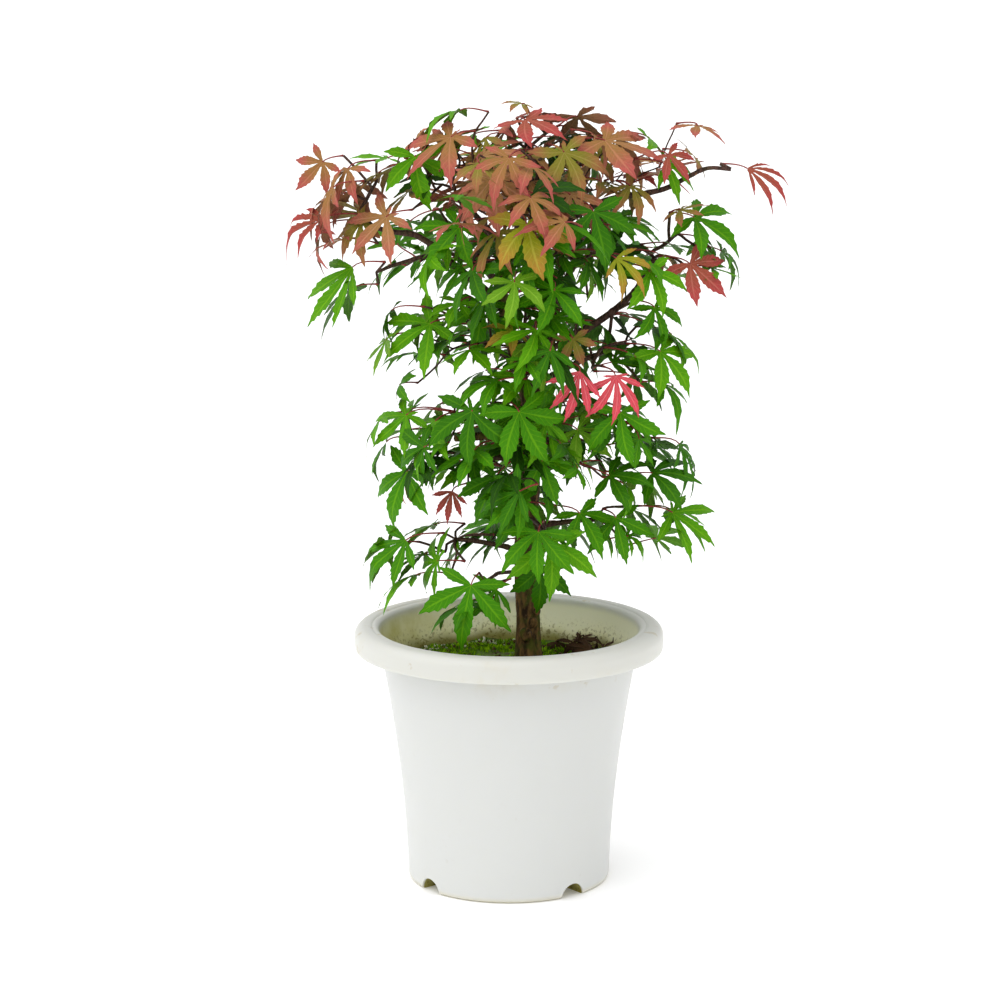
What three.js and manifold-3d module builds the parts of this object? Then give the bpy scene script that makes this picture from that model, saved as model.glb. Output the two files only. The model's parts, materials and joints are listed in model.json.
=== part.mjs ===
// A young Japanese maple in a white nursery pot: pot, soil, trunk with two leaders,
// boughs, and the masses of foliage that the boughs carry.
// Millimetres, +Z up. The origin is the middle of the pot's flat underside.
import * as THREE from "three";
import { mergeVertices } from "three/addons/utils/BufferGeometryUtils.js";
import Module from "manifold-3d";

const wasm = await Module();
wasm.setup();

// ---- driving dimensions ----

const potHeight = 126;
const potRimRadius = 75;
const potFootRadius = 49.2;
const potFlare = 12.8; // how much wider the wall is under the rim than at the foot
const potFlarePower = 1.7;
const potShoulder = 112; // height at which the flare is measured
const potWall = 2.2;
const potFloor = 2.4;
const potSides = 32;
const innerSteps = 4; // straight stretches of the inner wall
const footEdge = 2.4; // rounding between the wall and the underside
const skirtBottom = 113.6; // the rim turns down to here
const channelTop = 120.4; // ceiling of the hollow under the rim
const rimThickness = 2.3;

const archCount = 4;
const archFirst = -51; // degrees from the front, anticlockwise from above
const archRadius = 6.8;
const archWall = 1.9;
const archInner = 24; // the tunnels stop this far from the axis
const drainRadius = 3.2;
const drainFromAxis = 33;

const gap = 0.3; // between pieces that touch
const soilEdge = 102;
const soilCrown = 104;
const soilFlat = 24; // radius of the level middle

const woodSides = 6;
const woodClearance = 0.5;
const leafClearance = 0.9;
const unevenness = 0.13;

const potWhite = { color: 0xe6e8e5, roughness: 0.38, metalness: 0 };
const mossGreen = { color: 0x4f6b1c, roughness: 0.95, metalness: 0 };
const barkBrown = { color: 0x5d4c3c, roughness: 0.85, metalness: 0 };
const twigBrown = { color: 0x5a2f28, roughness: 0.7, metalness: 0 };
const leafGreen = { color: 0x3d7a1e, roughness: 0.6, metalness: 0 };
const leafBronze = { color: 0xb0644a, roughness: 0.6, metalness: 0 };

// ---- geometry helpers ----

const point = (values) => new THREE.Vector3(...values);

// Only positions, with the shared corners merged
function bare(geometry) {
  geometry.deleteAttribute("normal");
  geometry.deleteAttribute("uv");
  return mergeVertices(geometry, 1e-4);
}

function toSolid(geometry) {
  const vertProperties = new Float32Array(geometry.attributes.position.array);
  const triVerts = new Uint32Array(geometry.index.array);
  return new wasm.Manifold(new wasm.Mesh({ numProp: 3, vertProperties, triVerts }));
}

function toGeometry(solid) {
  const mesh = solid.getMesh();
  const geometry = new THREE.BufferGeometry();
  geometry.setAttribute("position", new THREE.BufferAttribute(mesh.vertProperties, 3));
  geometry.setIndex(new THREE.BufferAttribute(mesh.triVerts, 1));
  geometry.computeVertexNormals();
  return geometry;
}

// A lathed solid about the Z axis from [radius, height] pairs
function turned(outline, sides = potSides) {
  const profile = outline.map(([radius, height]) => new THREE.Vector2(radius, height));
  const geometry = bare(new THREE.LatheGeometry(profile, sides));
  geometry.rotateX(Math.PI / 2);
  return toSolid(geometry);
}

// The piece of a cut solid that holds most of it
function biggestPiece(solid) {
  const pieces = solid.decompose();
  return pieces.reduce((best, piece) => (piece.volume() > best.volume() ? piece : best));
}

// ---- pot and soil ----

const wallRadius = (height) =>
  potFootRadius + potFlare * (Math.max(height, 0) / potShoulder) ** potFlarePower;

function wallSteps(from, to, count, inset) {
  return Array.from({ length: count + 1 }, (_, step) => {
    const height = from + ((to - from) * step) / count;
    return [wallRadius(height) - inset, height];
  });
}

const innerWall = (inset) => wallSteps(potFloor, potHeight - 9, innerSteps, inset);

// A bar along the ground from the axis side outwards, with a half-round top
function archBar(radius, from, to, below) {
  const section = new THREE.Shape();
  section.moveTo(-radius, -below);
  section.lineTo(radius, -below);
  section.lineTo(radius, 0);
  section.absarc(0, 0, radius, 0, Math.PI, false);
  section.lineTo(-radius, -below);
  const options = { depth: to - from, bevelEnabled: false, curveSegments: 6 };
  const geometry = bare(new THREE.ExtrudeGeometry(section, options));
  geometry.rotateX(Math.PI / 2); // the section's height becomes Z, the length runs along -Y
  geometry.translate(0, -from, 0);
  return toSolid(geometry);
}

function drainHole() {
  const geometry = bare(new THREE.CylinderGeometry(drainRadius, drainRadius, 12, 12));
  geometry.rotateX(Math.PI / 2);
  geometry.translate(0, -drainFromAxis, archRadius);
  return toSolid(geometry);
}

const archTurns = Array.from({ length: archCount }, (_, i) => archFirst + (i * 360) / archCount);
const aroundPot = (solid) => archTurns.map((turn) => solid.rotate([0, 0, turn]));

function potSolid() {
  const outline = [
    [0, 0],
    [potFootRadius - footEdge, 0],
    [potFootRadius - footEdge * 0.3, footEdge * 0.3],
    ...wallSteps(footEdge, channelTop, 5, 0),
    [potRimRadius - rimThickness, channelTop],
    [potRimRadius - rimThickness, skirtBottom],
    [potRimRadius, skirtBottom],
    [potRimRadius, potHeight - 5],
    [potRimRadius - 1.7, potHeight - 1.5],
    [potRimRadius - 5.4, potHeight],
    [potRimRadius - 8.8, potHeight],
    [potRimRadius - 11, potHeight - 1.8],
    ...innerWall(potWall).reverse(),
    [0, potFloor],
  ];
  let pot = turned(outline);
  const ridgeEnd = potFootRadius - potWall / 2 - 0.6;
  for (const ridge of aroundPot(archBar(archRadius + archWall, archInner - archWall, ridgeEnd, 0))) {
    pot = pot.add(ridge);
  }
  for (const tunnel of aroundPot(archBar(archRadius, archInner, potRimRadius, 2))) {
    pot = pot.subtract(tunnel);
  }
  for (const hole of aroundPot(drainHole())) {
    pot = pot.subtract(hole);
  }
  return pot;
}

function soilSolid() {
  const inset = potWall + gap + 0.1;
  const side = innerWall(inset).filter(([, height]) => height > potFloor && height < soilEdge);
  let soil = turned([
    [0, potFloor + gap],
    [wallRadius(potFloor) - inset, potFloor + gap],
    ...side,
    [wallRadius(soilEdge) - inset, soilEdge],
    [soilFlat, soilCrown],
    [0, soilCrown],
  ]);
  const clearRadius = archRadius + archWall + gap;
  for (const ridge of aroundPot(archBar(clearRadius, archInner - archWall - gap, potRimRadius, 0))) {
    soil = soil.subtract(ridge);
  }
  return soil;
}

// ---- wood ----

// A limb is a capped cylinder bent along a curve, with its radius thinning from foot to tip
function limbSolid({ curve, radii, steps, flare = 0 }, extra = 0) {
  const geometry = bare(new THREE.CylinderGeometry(1, 1, 1, woodSides, steps));
  const frames = curve.computeFrenetFrames(steps, false);
  const corners = geometry.attributes.position;
  for (let i = 0; i < corners.count; i += 1) {
    const along = corners.getY(i) + 0.5;
    const step = Math.round(along * steps);
    const taper = radii[0] + (radii[1] - radii[0]) * along;
    const radius = taper + flare * Math.exp(-along * 20) + extra;
    const place = curve.getPointAt(step / steps);
    place.addScaledVector(frames.normals[step], corners.getX(i) * radius);
    place.addScaledVector(frames.binormals[step], -corners.getZ(i) * radius);
    if (flare > 0 && step === 0) {
      place.z = curve.getPointAt(0).z;
    }
    corners.setXYZ(i, place.x, place.y, place.z);
  }
  return toSolid(geometry);
}

const smoothCurve = (points) => new THREE.CatmullRomCurve3(points.map(point), false, "centripetal");

const trunkFoot = [9.5, 0, soilCrown + gap];
const fork = [12, 3, 226];

const stems = {
  trunk: {
    curve: smoothCurve([trunkFoot, [9, 1, 135], [7.5, 2, 162], [10.5, 3, 196], fork]),
    radii: [6.5, 4.1],
    steps: 10,
    flare: 1.4,
  },
  left_leader: {
    curve: smoothCurve([
      [11, 3, 224],
      [6, 7, 244],
      [-1, 7, 268],
      [-3, 5, 290],
      [3, 4, 314],
      [9, 3, 336],
    ]),
    radii: [3.1, 1.6],
    steps: 8,
  },
  right_leader: {
    curve: smoothCurve([
      [13.5, 2, 224],
      [15, -3, 246],
      [21, -2, 270],
      [24, 2, 298],
      [23, 4, 322],
      [27, 3, 342],
    ]),
    radii: [3, 1.5],
    steps: 8,
  },
};

// ---- foliage masses ----

// Each mass: middle, reach along X, Y and Z, the furthest leaf tips, and its bough. The bough
// starts on a stem at a fraction of its length, and rises by lift at its middle; via
// gives the bends of the few boughs that aren't plain arcs.
const masses = {
  crown_top: {
    at: [10, 0, 352], reach: [36, 34, 19], detail: 2,
    tips: [[8, 0, 379.6], [32, -4, 372]],
  },
  crown_left: {
    at: [-40, -8, 344], reach: [30, 29, 17], detail: 2,
    tips: [[-20, -6, 374], [-57, -10, 357]],
    from: ["left_leader", 0.72], wood: [1.7, 1.1], lift: 4,
  },
  crown_right: {
    at: [56, -5, 349], reach: [32, 29, 14], detail: 2,
    tips: [[102, -4, 363], [64, -6, 367]],
    from: ["right_leader", 0.9], wood: [1.6, 1.1], lift: -2,
  },
  crown_front: {
    at: [8, -48, 336], reach: [36, 26, 21], detail: 2,
    tips: [[6, -86, 322], [-24, -62, 349]],
    from: ["left_leader", 0.82], wood: [1.6, 1.0], lift: 5,
  },
  crown_back: {
    at: [10, 50, 338], reach: [40, 27, 21], detail: 2,
    tips: [[18, 90, 328], [-30, 66, 352]],
    from: ["right_leader", 0.82], wood: [1.7, 1.0], lift: 5,
  },
  far_left: {
    at: [-84, -5, 326], reach: [20, 20, 16], detail: 2,
    tips: [[-111.5, -5, 301], [-101, -6, 345], [-82, -6, 360]],
    from: ["left_leader", 0.5], wood: [2.4, 0.9],
    via: [[-16, 3, 292], [-31, 1, 304], [-42, -2, 315], [-55, -4, 316.5]],
  },
  left_hanging: {
    at: [-75, -7, 292], reach: [15, 11, 10], detail: 1,
    tips: [[-98, -8, 267], [-66, -7, 277]],
    from: ["far_left", 0.42], wood: [1.1, 0.7], lift: 2,
  },
  far_right: {
    at: [117, -3, 344], reach: [12, 11, 7], detail: 1,
    tips: [[138.5, -3, 334], [103, -3, 338]],
    from: ["right_leader", 0.8], wood: [1.9, 0.8],
    via: [[45, 2, 331], [64, 0, 334.5], [79, -2, 339], [92, -3, 347]],
  },
  right_shoulder: {
    at: [90, -5, 309], reach: [20, 19, 13], detail: 2,
    tips: [[115, -6, 312], [114, -6, 300], [89, -6, 284]],
    from: ["right_leader", 0.32], wood: [2.1, 1.1],
    via: [[36, -3, 270], [52, -3, 281], [63, -3, 293], [68, -4, 305]],
  },
  upper_left: {
    at: [-33, -16, 308], reach: [22, 20, 13], detail: 1,
    tips: [[-38, -20, 297]],
    from: ["left_leader", 0.6], wood: [1.3, 0.9], lift: 3,
  },
  upper_front: {
    at: [10, -40, 301], reach: [33, 25, 16], detail: 1,
    tips: [[8, -78, 290]],
    from: ["right_leader", 0.5], wood: [1.5, 1.0], lift: 4,
  },
  upper_right: {
    at: [52, -16, 311], reach: [22, 24, 16], detail: 1,
    tips: [[84, -16, 292]],
    from: ["right_leader", 0.62], wood: [1.5, 1.0], lift: 3,
  },
  upper_back_left: {
    at: [-28, 40, 306], reach: [29, 27, 16], detail: 1,
    tips: [[-64, 62, 292]],
    from: ["left_leader", 0.56], wood: [1.6, 1.0], lift: 4,
  },
  upper_back_right: {
    at: [44, 41, 305], reach: [29, 26, 16], detail: 1,
    tips: [[84, 60, 294]],
    from: ["right_leader", 0.55], wood: [1.6, 1.0], lift: 4,
  },
  mid_left: {
    at: [-34, -8, 272], reach: [26, 28, 14], detail: 2,
    tips: [[-70, -10, 261], [-54, -9, 241]],
    from: ["left_leader", 0.26], wood: [1.7, 1.1], lift: 3,
  },
  mid_front: {
    at: [6, -37, 264], reach: [30, 23, 20], detail: 2,
    tips: [[22, -68, 252]],
    from: ["right_leader", 0.22], wood: [1.6, 1.0], lift: 5,
  },
  mid_right: {
    at: [62, -9, 264], reach: [25, 27, 15], detail: 2,
    tips: [[91, -9, 249], [81, -8, 238]],
    from: ["right_leader", 0.18], wood: [1.7, 1.1], lift: 3,
  },
  mid_back: {
    at: [8, 42, 264], reach: [38, 26, 22], detail: 1,
    tips: [[-34, 58, 252], [48, 66, 250]],
    from: ["left_leader", 0.14], wood: [1.8, 1.1], lift: 4,
  },
  lower_left: {
    at: [-38, -10, 216], reach: [26, 27, 20], detail: 2,
    tips: [[-69, -10, 212], [-57, -11, 172]],
    from: ["trunk", 0.84], wood: [1.9, 1.1], lift: -2,
  },
  lower_front: {
    at: [4, -36, 216], reach: [28, 23, 26], detail: 2,
    tips: [[-8, -70, 204]],
    from: ["trunk", 0.9], wood: [1.7, 1.0], lift: 4,
  },
  lower_right: {
    at: [54, -10, 218], reach: [25, 26, 19], detail: 2,
    tips: [[103, -9, 206], [90, -9, 185]],
    from: ["trunk", 0.92], wood: [1.8, 1.1], lift: 3,
  },
  lower_back: {
    at: [8, 40, 214], reach: [34, 25, 24], detail: 1,
    tips: [[-28, 62, 196], [44, 62, 198]],
    from: ["trunk", 0.8], wood: [1.8, 1.1], lift: 4,
  },
  left_skirt: {
    at: [-46, -10, 169], reach: [21, 22, 11], detail: 1,
    tips: [[-75, -10, 149], [-63, -10, 145]],
    from: ["trunk", 0.47], wood: [1.5, 0.9], lift: 3,
  },
  right_skirt: {
    at: [66, -10, 176], reach: [24, 19, 10], detail: 2,
    tips: [[104, -10, 163], [56, -10, 158]],
    from: ["trunk", 0.56], wood: [1.5, 0.9], lift: 4,
  },
  front_leaves: {
    at: [20, -38, 170], reach: [20, 16, 12], detail: 1,
    tips: [[45, -44, 160], [22, -48, 148]],
    from: ["trunk", 0.6], wood: [1.3, 0.8], lift: 5,
  },
  front_low_leaves: {
    at: [-18, -40, 150], reach: [14, 13, 9], detail: 1,
    tips: [[-39, -42, 149], [-31, -46, 124]],
    from: ["trunk", 0.38], wood: [1.1, 0.7], lift: 5,
  },
  back_skirt: {
    at: [2, 38, 170], reach: [28, 21, 12], detail: 1,
    tips: [[-30, 54, 156], [34, 56, 158]],
    from: ["trunk", 0.5], wood: [1.5, 0.9], lift: 4,
  },
};
const isBronze = (name) => name.startsWith("crown") || name.startsWith("far");

// Slow waves over the sphere of directions, different for each mass
function waves(direction, seed) {
  let sum = 0;
  for (let k = 1; k <= 3; k += 1) {
    const turn = seed * k;
    const axis = point([Math.sin(turn * 1.7), Math.cos(turn * 2.3), Math.sin(seed + k * 2.1)]);
    sum += Math.sin(direction.dot(axis) * (2.2 + k) + turn) / 3;
  }
  return sum;
}

// A ball stretched to its reach, roughened, and drawn out to each tip
function massSolid({ at, reach, tips, detail }, seed, extra = 0) {
  const middle = point(at);
  const stretch = point(reach);
  const pulls = tips.map((tip) => point(tip).sub(middle).divide(stretch));
  const geometry = bare(new THREE.IcosahedronGeometry(1, detail));
  const corners = geometry.attributes.position;
  const directions = Array.from({ length: corners.count }, (_, i) =>
    new THREE.Vector3().fromBufferAttribute(corners, i).normalize(),
  );
  const lengths = directions.map((direction) => 1 + unevenness * waves(direction, seed));
  for (const pull of pulls) {
    const aim = pull.clone().normalize();
    const sharpness = 9 + 2 * detail;
    directions.forEach((direction, i) => {
      const weight = Math.max(0, direction.dot(aim)) ** sharpness;
      lengths[i] += (pull.length() - lengths[i]) * weight;
    });
    const nearest = directions.reduce((best, d, i) => (d.dot(aim) > directions[best].dot(aim) ? i : best), 0);
    directions[nearest] = aim;
    lengths[nearest] = pull.length();
  }
  directions.forEach((direction, i) => {
    const outward = direction.clone().divide(stretch).normalize();
    const corner = direction.clone().multiplyScalar(lengths[i]).multiply(stretch).add(middle);
    corner.addScaledVector(outward, extra);
    corners.setXYZ(i, corner.x, corner.y, corner.z);
  });
  return toSolid(geometry);
}

// ---- boughs ----

function boughFor({ at, from, wood, via, lift = 0 }, limbs) {
  const [parent, fraction] = from;
  const start = limbs[parent].curve.getPointAt(fraction);
  const end = point(at);
  let bends = via;
  if (!via) {
    const middle = start.clone().lerp(end, 0.5);
    bends = [[middle.x, middle.y, middle.z + lift]];
  }
  const steps = via ? via.length + 5 : 4;
  return { curve: smoothCurve([start.toArray(), ...bends, at]), radii: wood, steps };
}

// ---- assembly ----

const group = new THREE.Group();

function addNode(name, solid, finish) {
  const mesh = new THREE.Mesh(toGeometry(solid), new THREE.MeshStandardMaterial(finish));
  mesh.name = name;
  group.add(mesh);
}

addNode("pot", potSolid(), potWhite);
addNode("soil", soilSolid(), mossGreen);

// Stems: each later one is cut clear of the ones before it
const stemSolids = [];
for (const [name, stem] of Object.entries(stems)) {
  let solid = limbSolid(stem);
  for (const earlier of stemSolids) {
    solid = solid.subtract(limbSolid(stems[earlier], woodClearance));
  }
  stemSolids.push(name);
  addNode(name, biggestPiece(solid), barkBrown);
}

const limbs = { ...stems };
const massNames = Object.keys(masses);
const boughNames = massNames.filter((name) => masses[name].from);
for (const name of boughNames) {
  limbs[name] = boughFor(masses[name], limbs);
}

// A mass gives way to the stems, to the masses before it, and to boughs that pass through it
const massSolids = {};
massNames.forEach((name, index) => {
  let solid = massSolid(masses[name], index + 1);
  for (const stem of stemSolids) {
    solid = solid.subtract(limbSolid(stems[stem], woodClearance));
  }
  massNames.slice(0, index).forEach((other, otherIndex) => {
    solid = solid.subtract(massSolid(masses[other], otherIndex + 1, leafClearance));
  });
  for (const other of boughNames.filter((candidate) => candidate !== name)) {
    const otherMass = massSolid(masses[other], massNames.indexOf(other) + 1);
    solid = solid.subtract(limbSolid(limbs[other], woodClearance).subtract(otherMass));
  }
  massSolids[name] = biggestPiece(solid);
});

// A bough leaves its stem and stops where it enters its mass
const boughSolids = [];
boughNames.forEach((name) => {
  let solid = limbSolid(limbs[name]);
  for (const stem of stemSolids) {
    solid = solid.subtract(limbSolid(stems[stem], woodClearance));
  }
  for (const earlier of boughSolids) {
    solid = solid.subtract(limbSolid(limbs[earlier], woodClearance));
  }
  solid = solid.subtract(massSolid(masses[name], massNames.indexOf(name) + 1, leafClearance));
  boughSolids.push(name);
  addNode(`${name}_bough`, biggestPiece(solid), twigBrown);
});

for (const name of massNames) {
  addNode(name, massSolids[name], isBronze(name) ? leafBronze : leafGreen);
}

export default group;
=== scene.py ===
import bmesh
import bpy
import json
import math
import random
from mathutils import Matrix, Quaternion, Vector, noise
from mathutils.bvhtree import BVHTree

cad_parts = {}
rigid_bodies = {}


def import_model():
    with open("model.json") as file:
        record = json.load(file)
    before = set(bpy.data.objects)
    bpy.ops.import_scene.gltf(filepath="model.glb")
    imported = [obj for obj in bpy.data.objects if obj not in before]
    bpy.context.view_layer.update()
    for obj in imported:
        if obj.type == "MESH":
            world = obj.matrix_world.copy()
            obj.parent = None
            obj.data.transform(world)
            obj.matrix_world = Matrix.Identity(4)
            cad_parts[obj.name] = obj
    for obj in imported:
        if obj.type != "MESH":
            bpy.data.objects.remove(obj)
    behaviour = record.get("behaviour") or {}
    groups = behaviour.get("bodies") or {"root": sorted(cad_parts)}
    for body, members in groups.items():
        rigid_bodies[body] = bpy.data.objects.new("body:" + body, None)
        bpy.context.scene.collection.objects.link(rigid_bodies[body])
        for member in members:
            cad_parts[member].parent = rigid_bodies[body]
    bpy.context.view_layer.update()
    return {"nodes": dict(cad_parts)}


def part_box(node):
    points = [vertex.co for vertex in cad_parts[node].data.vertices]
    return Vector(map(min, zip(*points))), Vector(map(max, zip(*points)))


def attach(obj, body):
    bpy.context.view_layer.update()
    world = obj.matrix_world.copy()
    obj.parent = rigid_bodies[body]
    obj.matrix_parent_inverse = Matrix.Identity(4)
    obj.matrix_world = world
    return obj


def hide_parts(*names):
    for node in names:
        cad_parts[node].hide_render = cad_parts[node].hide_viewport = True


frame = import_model()
mm = 0.001
up = Vector((0, 0, 1))

print("frame loaded:", len(frame["nodes"]), "nodes")


def lerp(a, b, t):
    return a + (b - a) * t


def onCircle(turn, radius):
    return radius * math.cos(turn), radius * math.sin(turn)


def smooth(t):
    t = max(0.0, min(1.0, t))
    return t * t * (3 - 2 * t)


def cadCopy(name):
    # a CAD node's mesh, with its loose triangles joined
    bm = bmesh.new()
    bm.from_mesh(frame["nodes"][name].data)
    bmesh.ops.remove_doubles(bm, verts=bm.verts, dist=0.01 * mm)
    return bm


def only(kind, parts):
    return [part for part in parts if isinstance(part, kind)]


def addObject(name, mesh, materials):
    piece = bpy.data.objects.new(name, mesh)
    bpy.context.scene.collection.objects.link(piece)
    for material in materials:
        mesh.materials.append(material)
    return piece


def meshFrom(bm, name):
    mesh = bpy.data.meshes.new(name)
    bm.to_mesh(mesh)
    bm.free()
    return mesh


def shadeSmooth(mesh):
    mesh.polygons.foreach_set("use_smooth", [True] * len(mesh.polygons))


def finishedMesh(item):
    # the mesh of a curve, or of a piece as its modifiers leave it
    graph = bpy.context.evaluated_depsgraph_get()
    return bpy.data.meshes.new_from_object(item.evaluated_get(graph))


def bakeModifiers(piece):
    mesh = finishedMesh(piece)
    piece.modifiers.clear()
    old = piece.data
    piece.data = mesh
    if old.users == 0:
        bpy.data.batch_remove([old])


def put(tree, kind, inputs=None, **settings):
    node = tree.nodes.new(kind)
    for name, value in settings.items():
        setattr(node, name, value)
    for socket, value in (inputs or {}).items():
        if isinstance(value, bpy.types.NodeSocket):
            tree.links.new(value, node.inputs[socket])
        else:
            node.inputs[socket].default_value = value
    return node


def colour(value):
    # three numbers get their alpha; a socket stays as it is
    return (*value, 1.0) if isinstance(value, (tuple, list)) else value


def maths(tree, operation, a, b=0.0):
    return put(tree, "ShaderNodeMath", {0: a, 1: b}, operation=operation).outputs[0]


def times(tree, a, b):
    return maths(tree, "MULTIPLY", a, b)


def blend(tree, factor, a, b, mode="MIX"):
    inputs = {0: factor, 6: colour(a), 7: colour(b)}
    return put(tree, "ShaderNodeMix", inputs, data_type="RGBA", blend_type=mode).outputs[2]


def ramp(tree, value, low, high, start=0.0, end=1.0):
    inputs = {0: value, 1: low, 2: high, 3: start, 4: end}
    node = put(tree, "ShaderNodeMapRange", inputs, interpolation_type="SMOOTHSTEP")
    return node.outputs[0]


def cloud(tree, place, scale, detail=3.0, roughness=0.55):
    inputs = {"Vector": place, "Scale": scale, "Detail": detail, "Roughness": roughness}
    return put(tree, "ShaderNodeTexNoise", inputs).outputs[0]


def newGroup(name, inputs, outputs):
    group = bpy.data.node_groups.new(name, "ShaderNodeTree")
    for side, sockets in (("INPUT", inputs), ("OUTPUT", outputs)):
        for label, kind in sockets.items():
            group.interface.new_socket(label, in_out=side, socket_type="NodeSocket" + kind)
    given = group.nodes.new("NodeGroupInput").outputs
    result = group.nodes.new("NodeGroupOutput").inputs
    return group, given, result


def newMaterial(name, **shaderValues):
    material = bpy.data.materials.new(name)
    material.use_nodes = True
    tree = material.node_tree
    shader = tree.nodes["Principled BSDF"]
    for socket, value in shaderValues.items():
        shader.inputs[socket.replace("_", " ")].default_value = value
    return material, tree, shader


def useGroup(tree, group, **inputs):
    node = tree.nodes.new("ShaderNodeGroup")
    node.node_tree = group
    for label, value in inputs.items():
        socket = node.inputs[label]
        if isinstance(value, bpy.types.NodeSocket):
            tree.links.new(value, socket)
        else:
            socket.default_value = colour(value)
    return node.outputs


def paint(tree, shader, base, rough=None):
    tree.links.new(base, shader.inputs["Base Color"])
    if rough is not None:
        tree.links.new(rough, shader.inputs["Roughness"])


def addRelief(tree, shader, height, distance, strength=1.0):
    inputs = {"Height": height, "Distance": distance, "Strength": strength}
    bump = put(tree, "ShaderNodeBump", inputs)
    tree.links.new(bump.outputs[0], shader.inputs["Normal"])


def objectPlace(tree):
    return put(tree, "ShaderNodeTexCoord").outputs["Object"]


# The camera stands in front of the pot, a little above the top of the plant
view = {"distance": 1465, "height": 471, "tilt": 10.97, "turn": 0.172, "lens": 111.6}

light = {
    "sky": 0.72,
    "backdrop": 1.0,
    "key": {"strength": 1.6, "softness": 90, "tilt": 27, "turn": -62},
    "fill": {"strength": 0.3, "softness": 90, "tilt": 35, "turn": 30},
    "floor": 0.96,
    "floorGlow": 0.12,
    "floorReach": 40,
}


def makeCamera():
    data = bpy.data.cameras.new("camera")
    data.lens = view["lens"]
    data.sensor_width = 36
    camera = bpy.data.objects.new("camera", data)
    camera.location = (0, -view["distance"] * mm, view["height"] * mm)
    camera.rotation_euler = (math.radians(90 - view["tilt"]), 0, math.radians(view["turn"]))
    bpy.context.scene.collection.objects.link(camera)
    bpy.context.scene.camera = camera


def makeSoftLight(name, strength, softness, tilt, turn):
    data = bpy.data.lights.new(name, "SUN")
    data.energy = strength
    data.angle = math.radians(softness)
    lamp = bpy.data.objects.new(name, data)
    lamp.rotation_euler = (math.radians(tilt), 0, math.radians(turn))
    bpy.context.scene.collection.objects.link(lamp)


def makeStage():
    world = bpy.data.worlds.new("paleStudio")
    world.use_nodes = True
    sky = world.node_tree.nodes["Background"]
    sky.inputs[0].default_value = (1, 1, 1, 1)
    seen = put(world.node_tree, "ShaderNodeLightPath").outputs["Is Camera Ray"]
    strength = put(world.node_tree, "ShaderNodeMapRange", {0: seen, 3: light["sky"], 4: light["backdrop"]})
    world.node_tree.links.new(strength.outputs[0], sky.inputs[1])
    bpy.context.scene.world = world
    bpy.context.scene.view_settings.view_transform = "Standard"
    for name in ("key", "fill"):
        makeSoftLight(name, **light[name])
    bm = bmesh.new()
    bmesh.ops.create_circle(bm, cap_ends=True, segments=64, radius=light["floorReach"])
    floor = addObject("floor", meshFrom(bm, "floor"), [])
    material, tree, shader = newMaterial("paleFloor", Roughness=0.9, Emission_Strength=light["floorGlow"])
    shade = cloud(tree, objectPlace(tree), 3.0)
    pale, paler = [light["floor"]] * 3, [light["floor"] + 0.02] * 3
    paint(tree, shader, blend(tree, shade, pale, paler))
    floor.data.materials.append(material)


pot = {
    "rimRadius": 75.0,
    "height": 126.0,
    "footRadius": 49.2,
    "flare": 12.8,
    "flarePower": 1.7,
    "shoulder": 112.0,
    "wall": 2.2,
    "floor": 2.4,
    "channelTop": 120.4,
    "skirtBottom": 114.4,
    "rimWall": 2.3,
    "archTurns": (-51, 39, 129, 219),
    "archRadius": 6.8,
    "archWall": 1.9,
    "archInner": 24.0,
    "drainRadius": 3.2,
    "drainFromAxis": 33.0,
    "segments": 144,
}


def wallRadius(height):
    return pot["footRadius"] + pot["flare"] * (max(height, 0) / pot["shoulder"]) ** pot["flarePower"]


def arcPoints(centre, radius, first, last, count):
    points = []
    for step in range(count + 1):
        x, y = onCircle(math.radians(lerp(first, last, step / count)), radius)
        points.append((centre[0] + x, centre[1] + y))
    return points


def wallPoints(low, high, count, inset):
    heights = [lerp(low, high, step / count) for step in range(count + 1)]
    return [(wallRadius(height) - inset, height) for height in heights]


def potOutline():
    rim, top, foot = pot["rimRadius"], pot["height"], pot["footRadius"]
    skirtInside = rim - pot["rimWall"]
    lip = 5.2  # the big outer rounding of the rim
    bead = 2.6  # the small inner one
    flat = rim - lip - 1.6
    innerTop = top - bead
    throat = flat - bead * 1.1
    outline = [(0, 0)]
    outline += arcPoints((foot - 2.4, 2.4), 2.4, -90, 0, 5)
    outline += wallPoints(4, pot["channelTop"] - 1.2, 26, 0)
    outline += arcPoints((wallRadius(120) + 1.2, pot["channelTop"] - 1.0), 1.0, 180, 90, 3)
    outline += arcPoints((skirtInside - 1.0, pot["channelTop"] - 1.0), 1.0, 90, 0, 3)
    outline += [(skirtInside, pot["skirtBottom"] + 0.5)]
    outline += arcPoints((rim - pot["rimWall"] / 2, pot["skirtBottom"] + 0.6), 0.7, 200, 340, 4)
    outline += [(rim - 0.15, pot["skirtBottom"] + 1.6), (rim, pot["skirtBottom"] + 4)]
    outline += arcPoints((rim - lip, top - lip), lip, 0, 80, 8)
    outline += [(flat, top), (flat - 1.2, top - 0.1)]
    outline += arcPoints((throat + 0.2, innerTop - 0.4), bead, 70, 165, 5)
    outline += [(wallRadius(114) - pot["wall"] + 0.5, 114)]
    outline += wallPoints(108, pot["floor"] + 2, 14, pot["wall"])
    outline += [(foot - pot["wall"] - 1, pot["floor"]), (0, pot["floor"])]
    return [(radius * mm, height * mm) for radius, height in outline]


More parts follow.
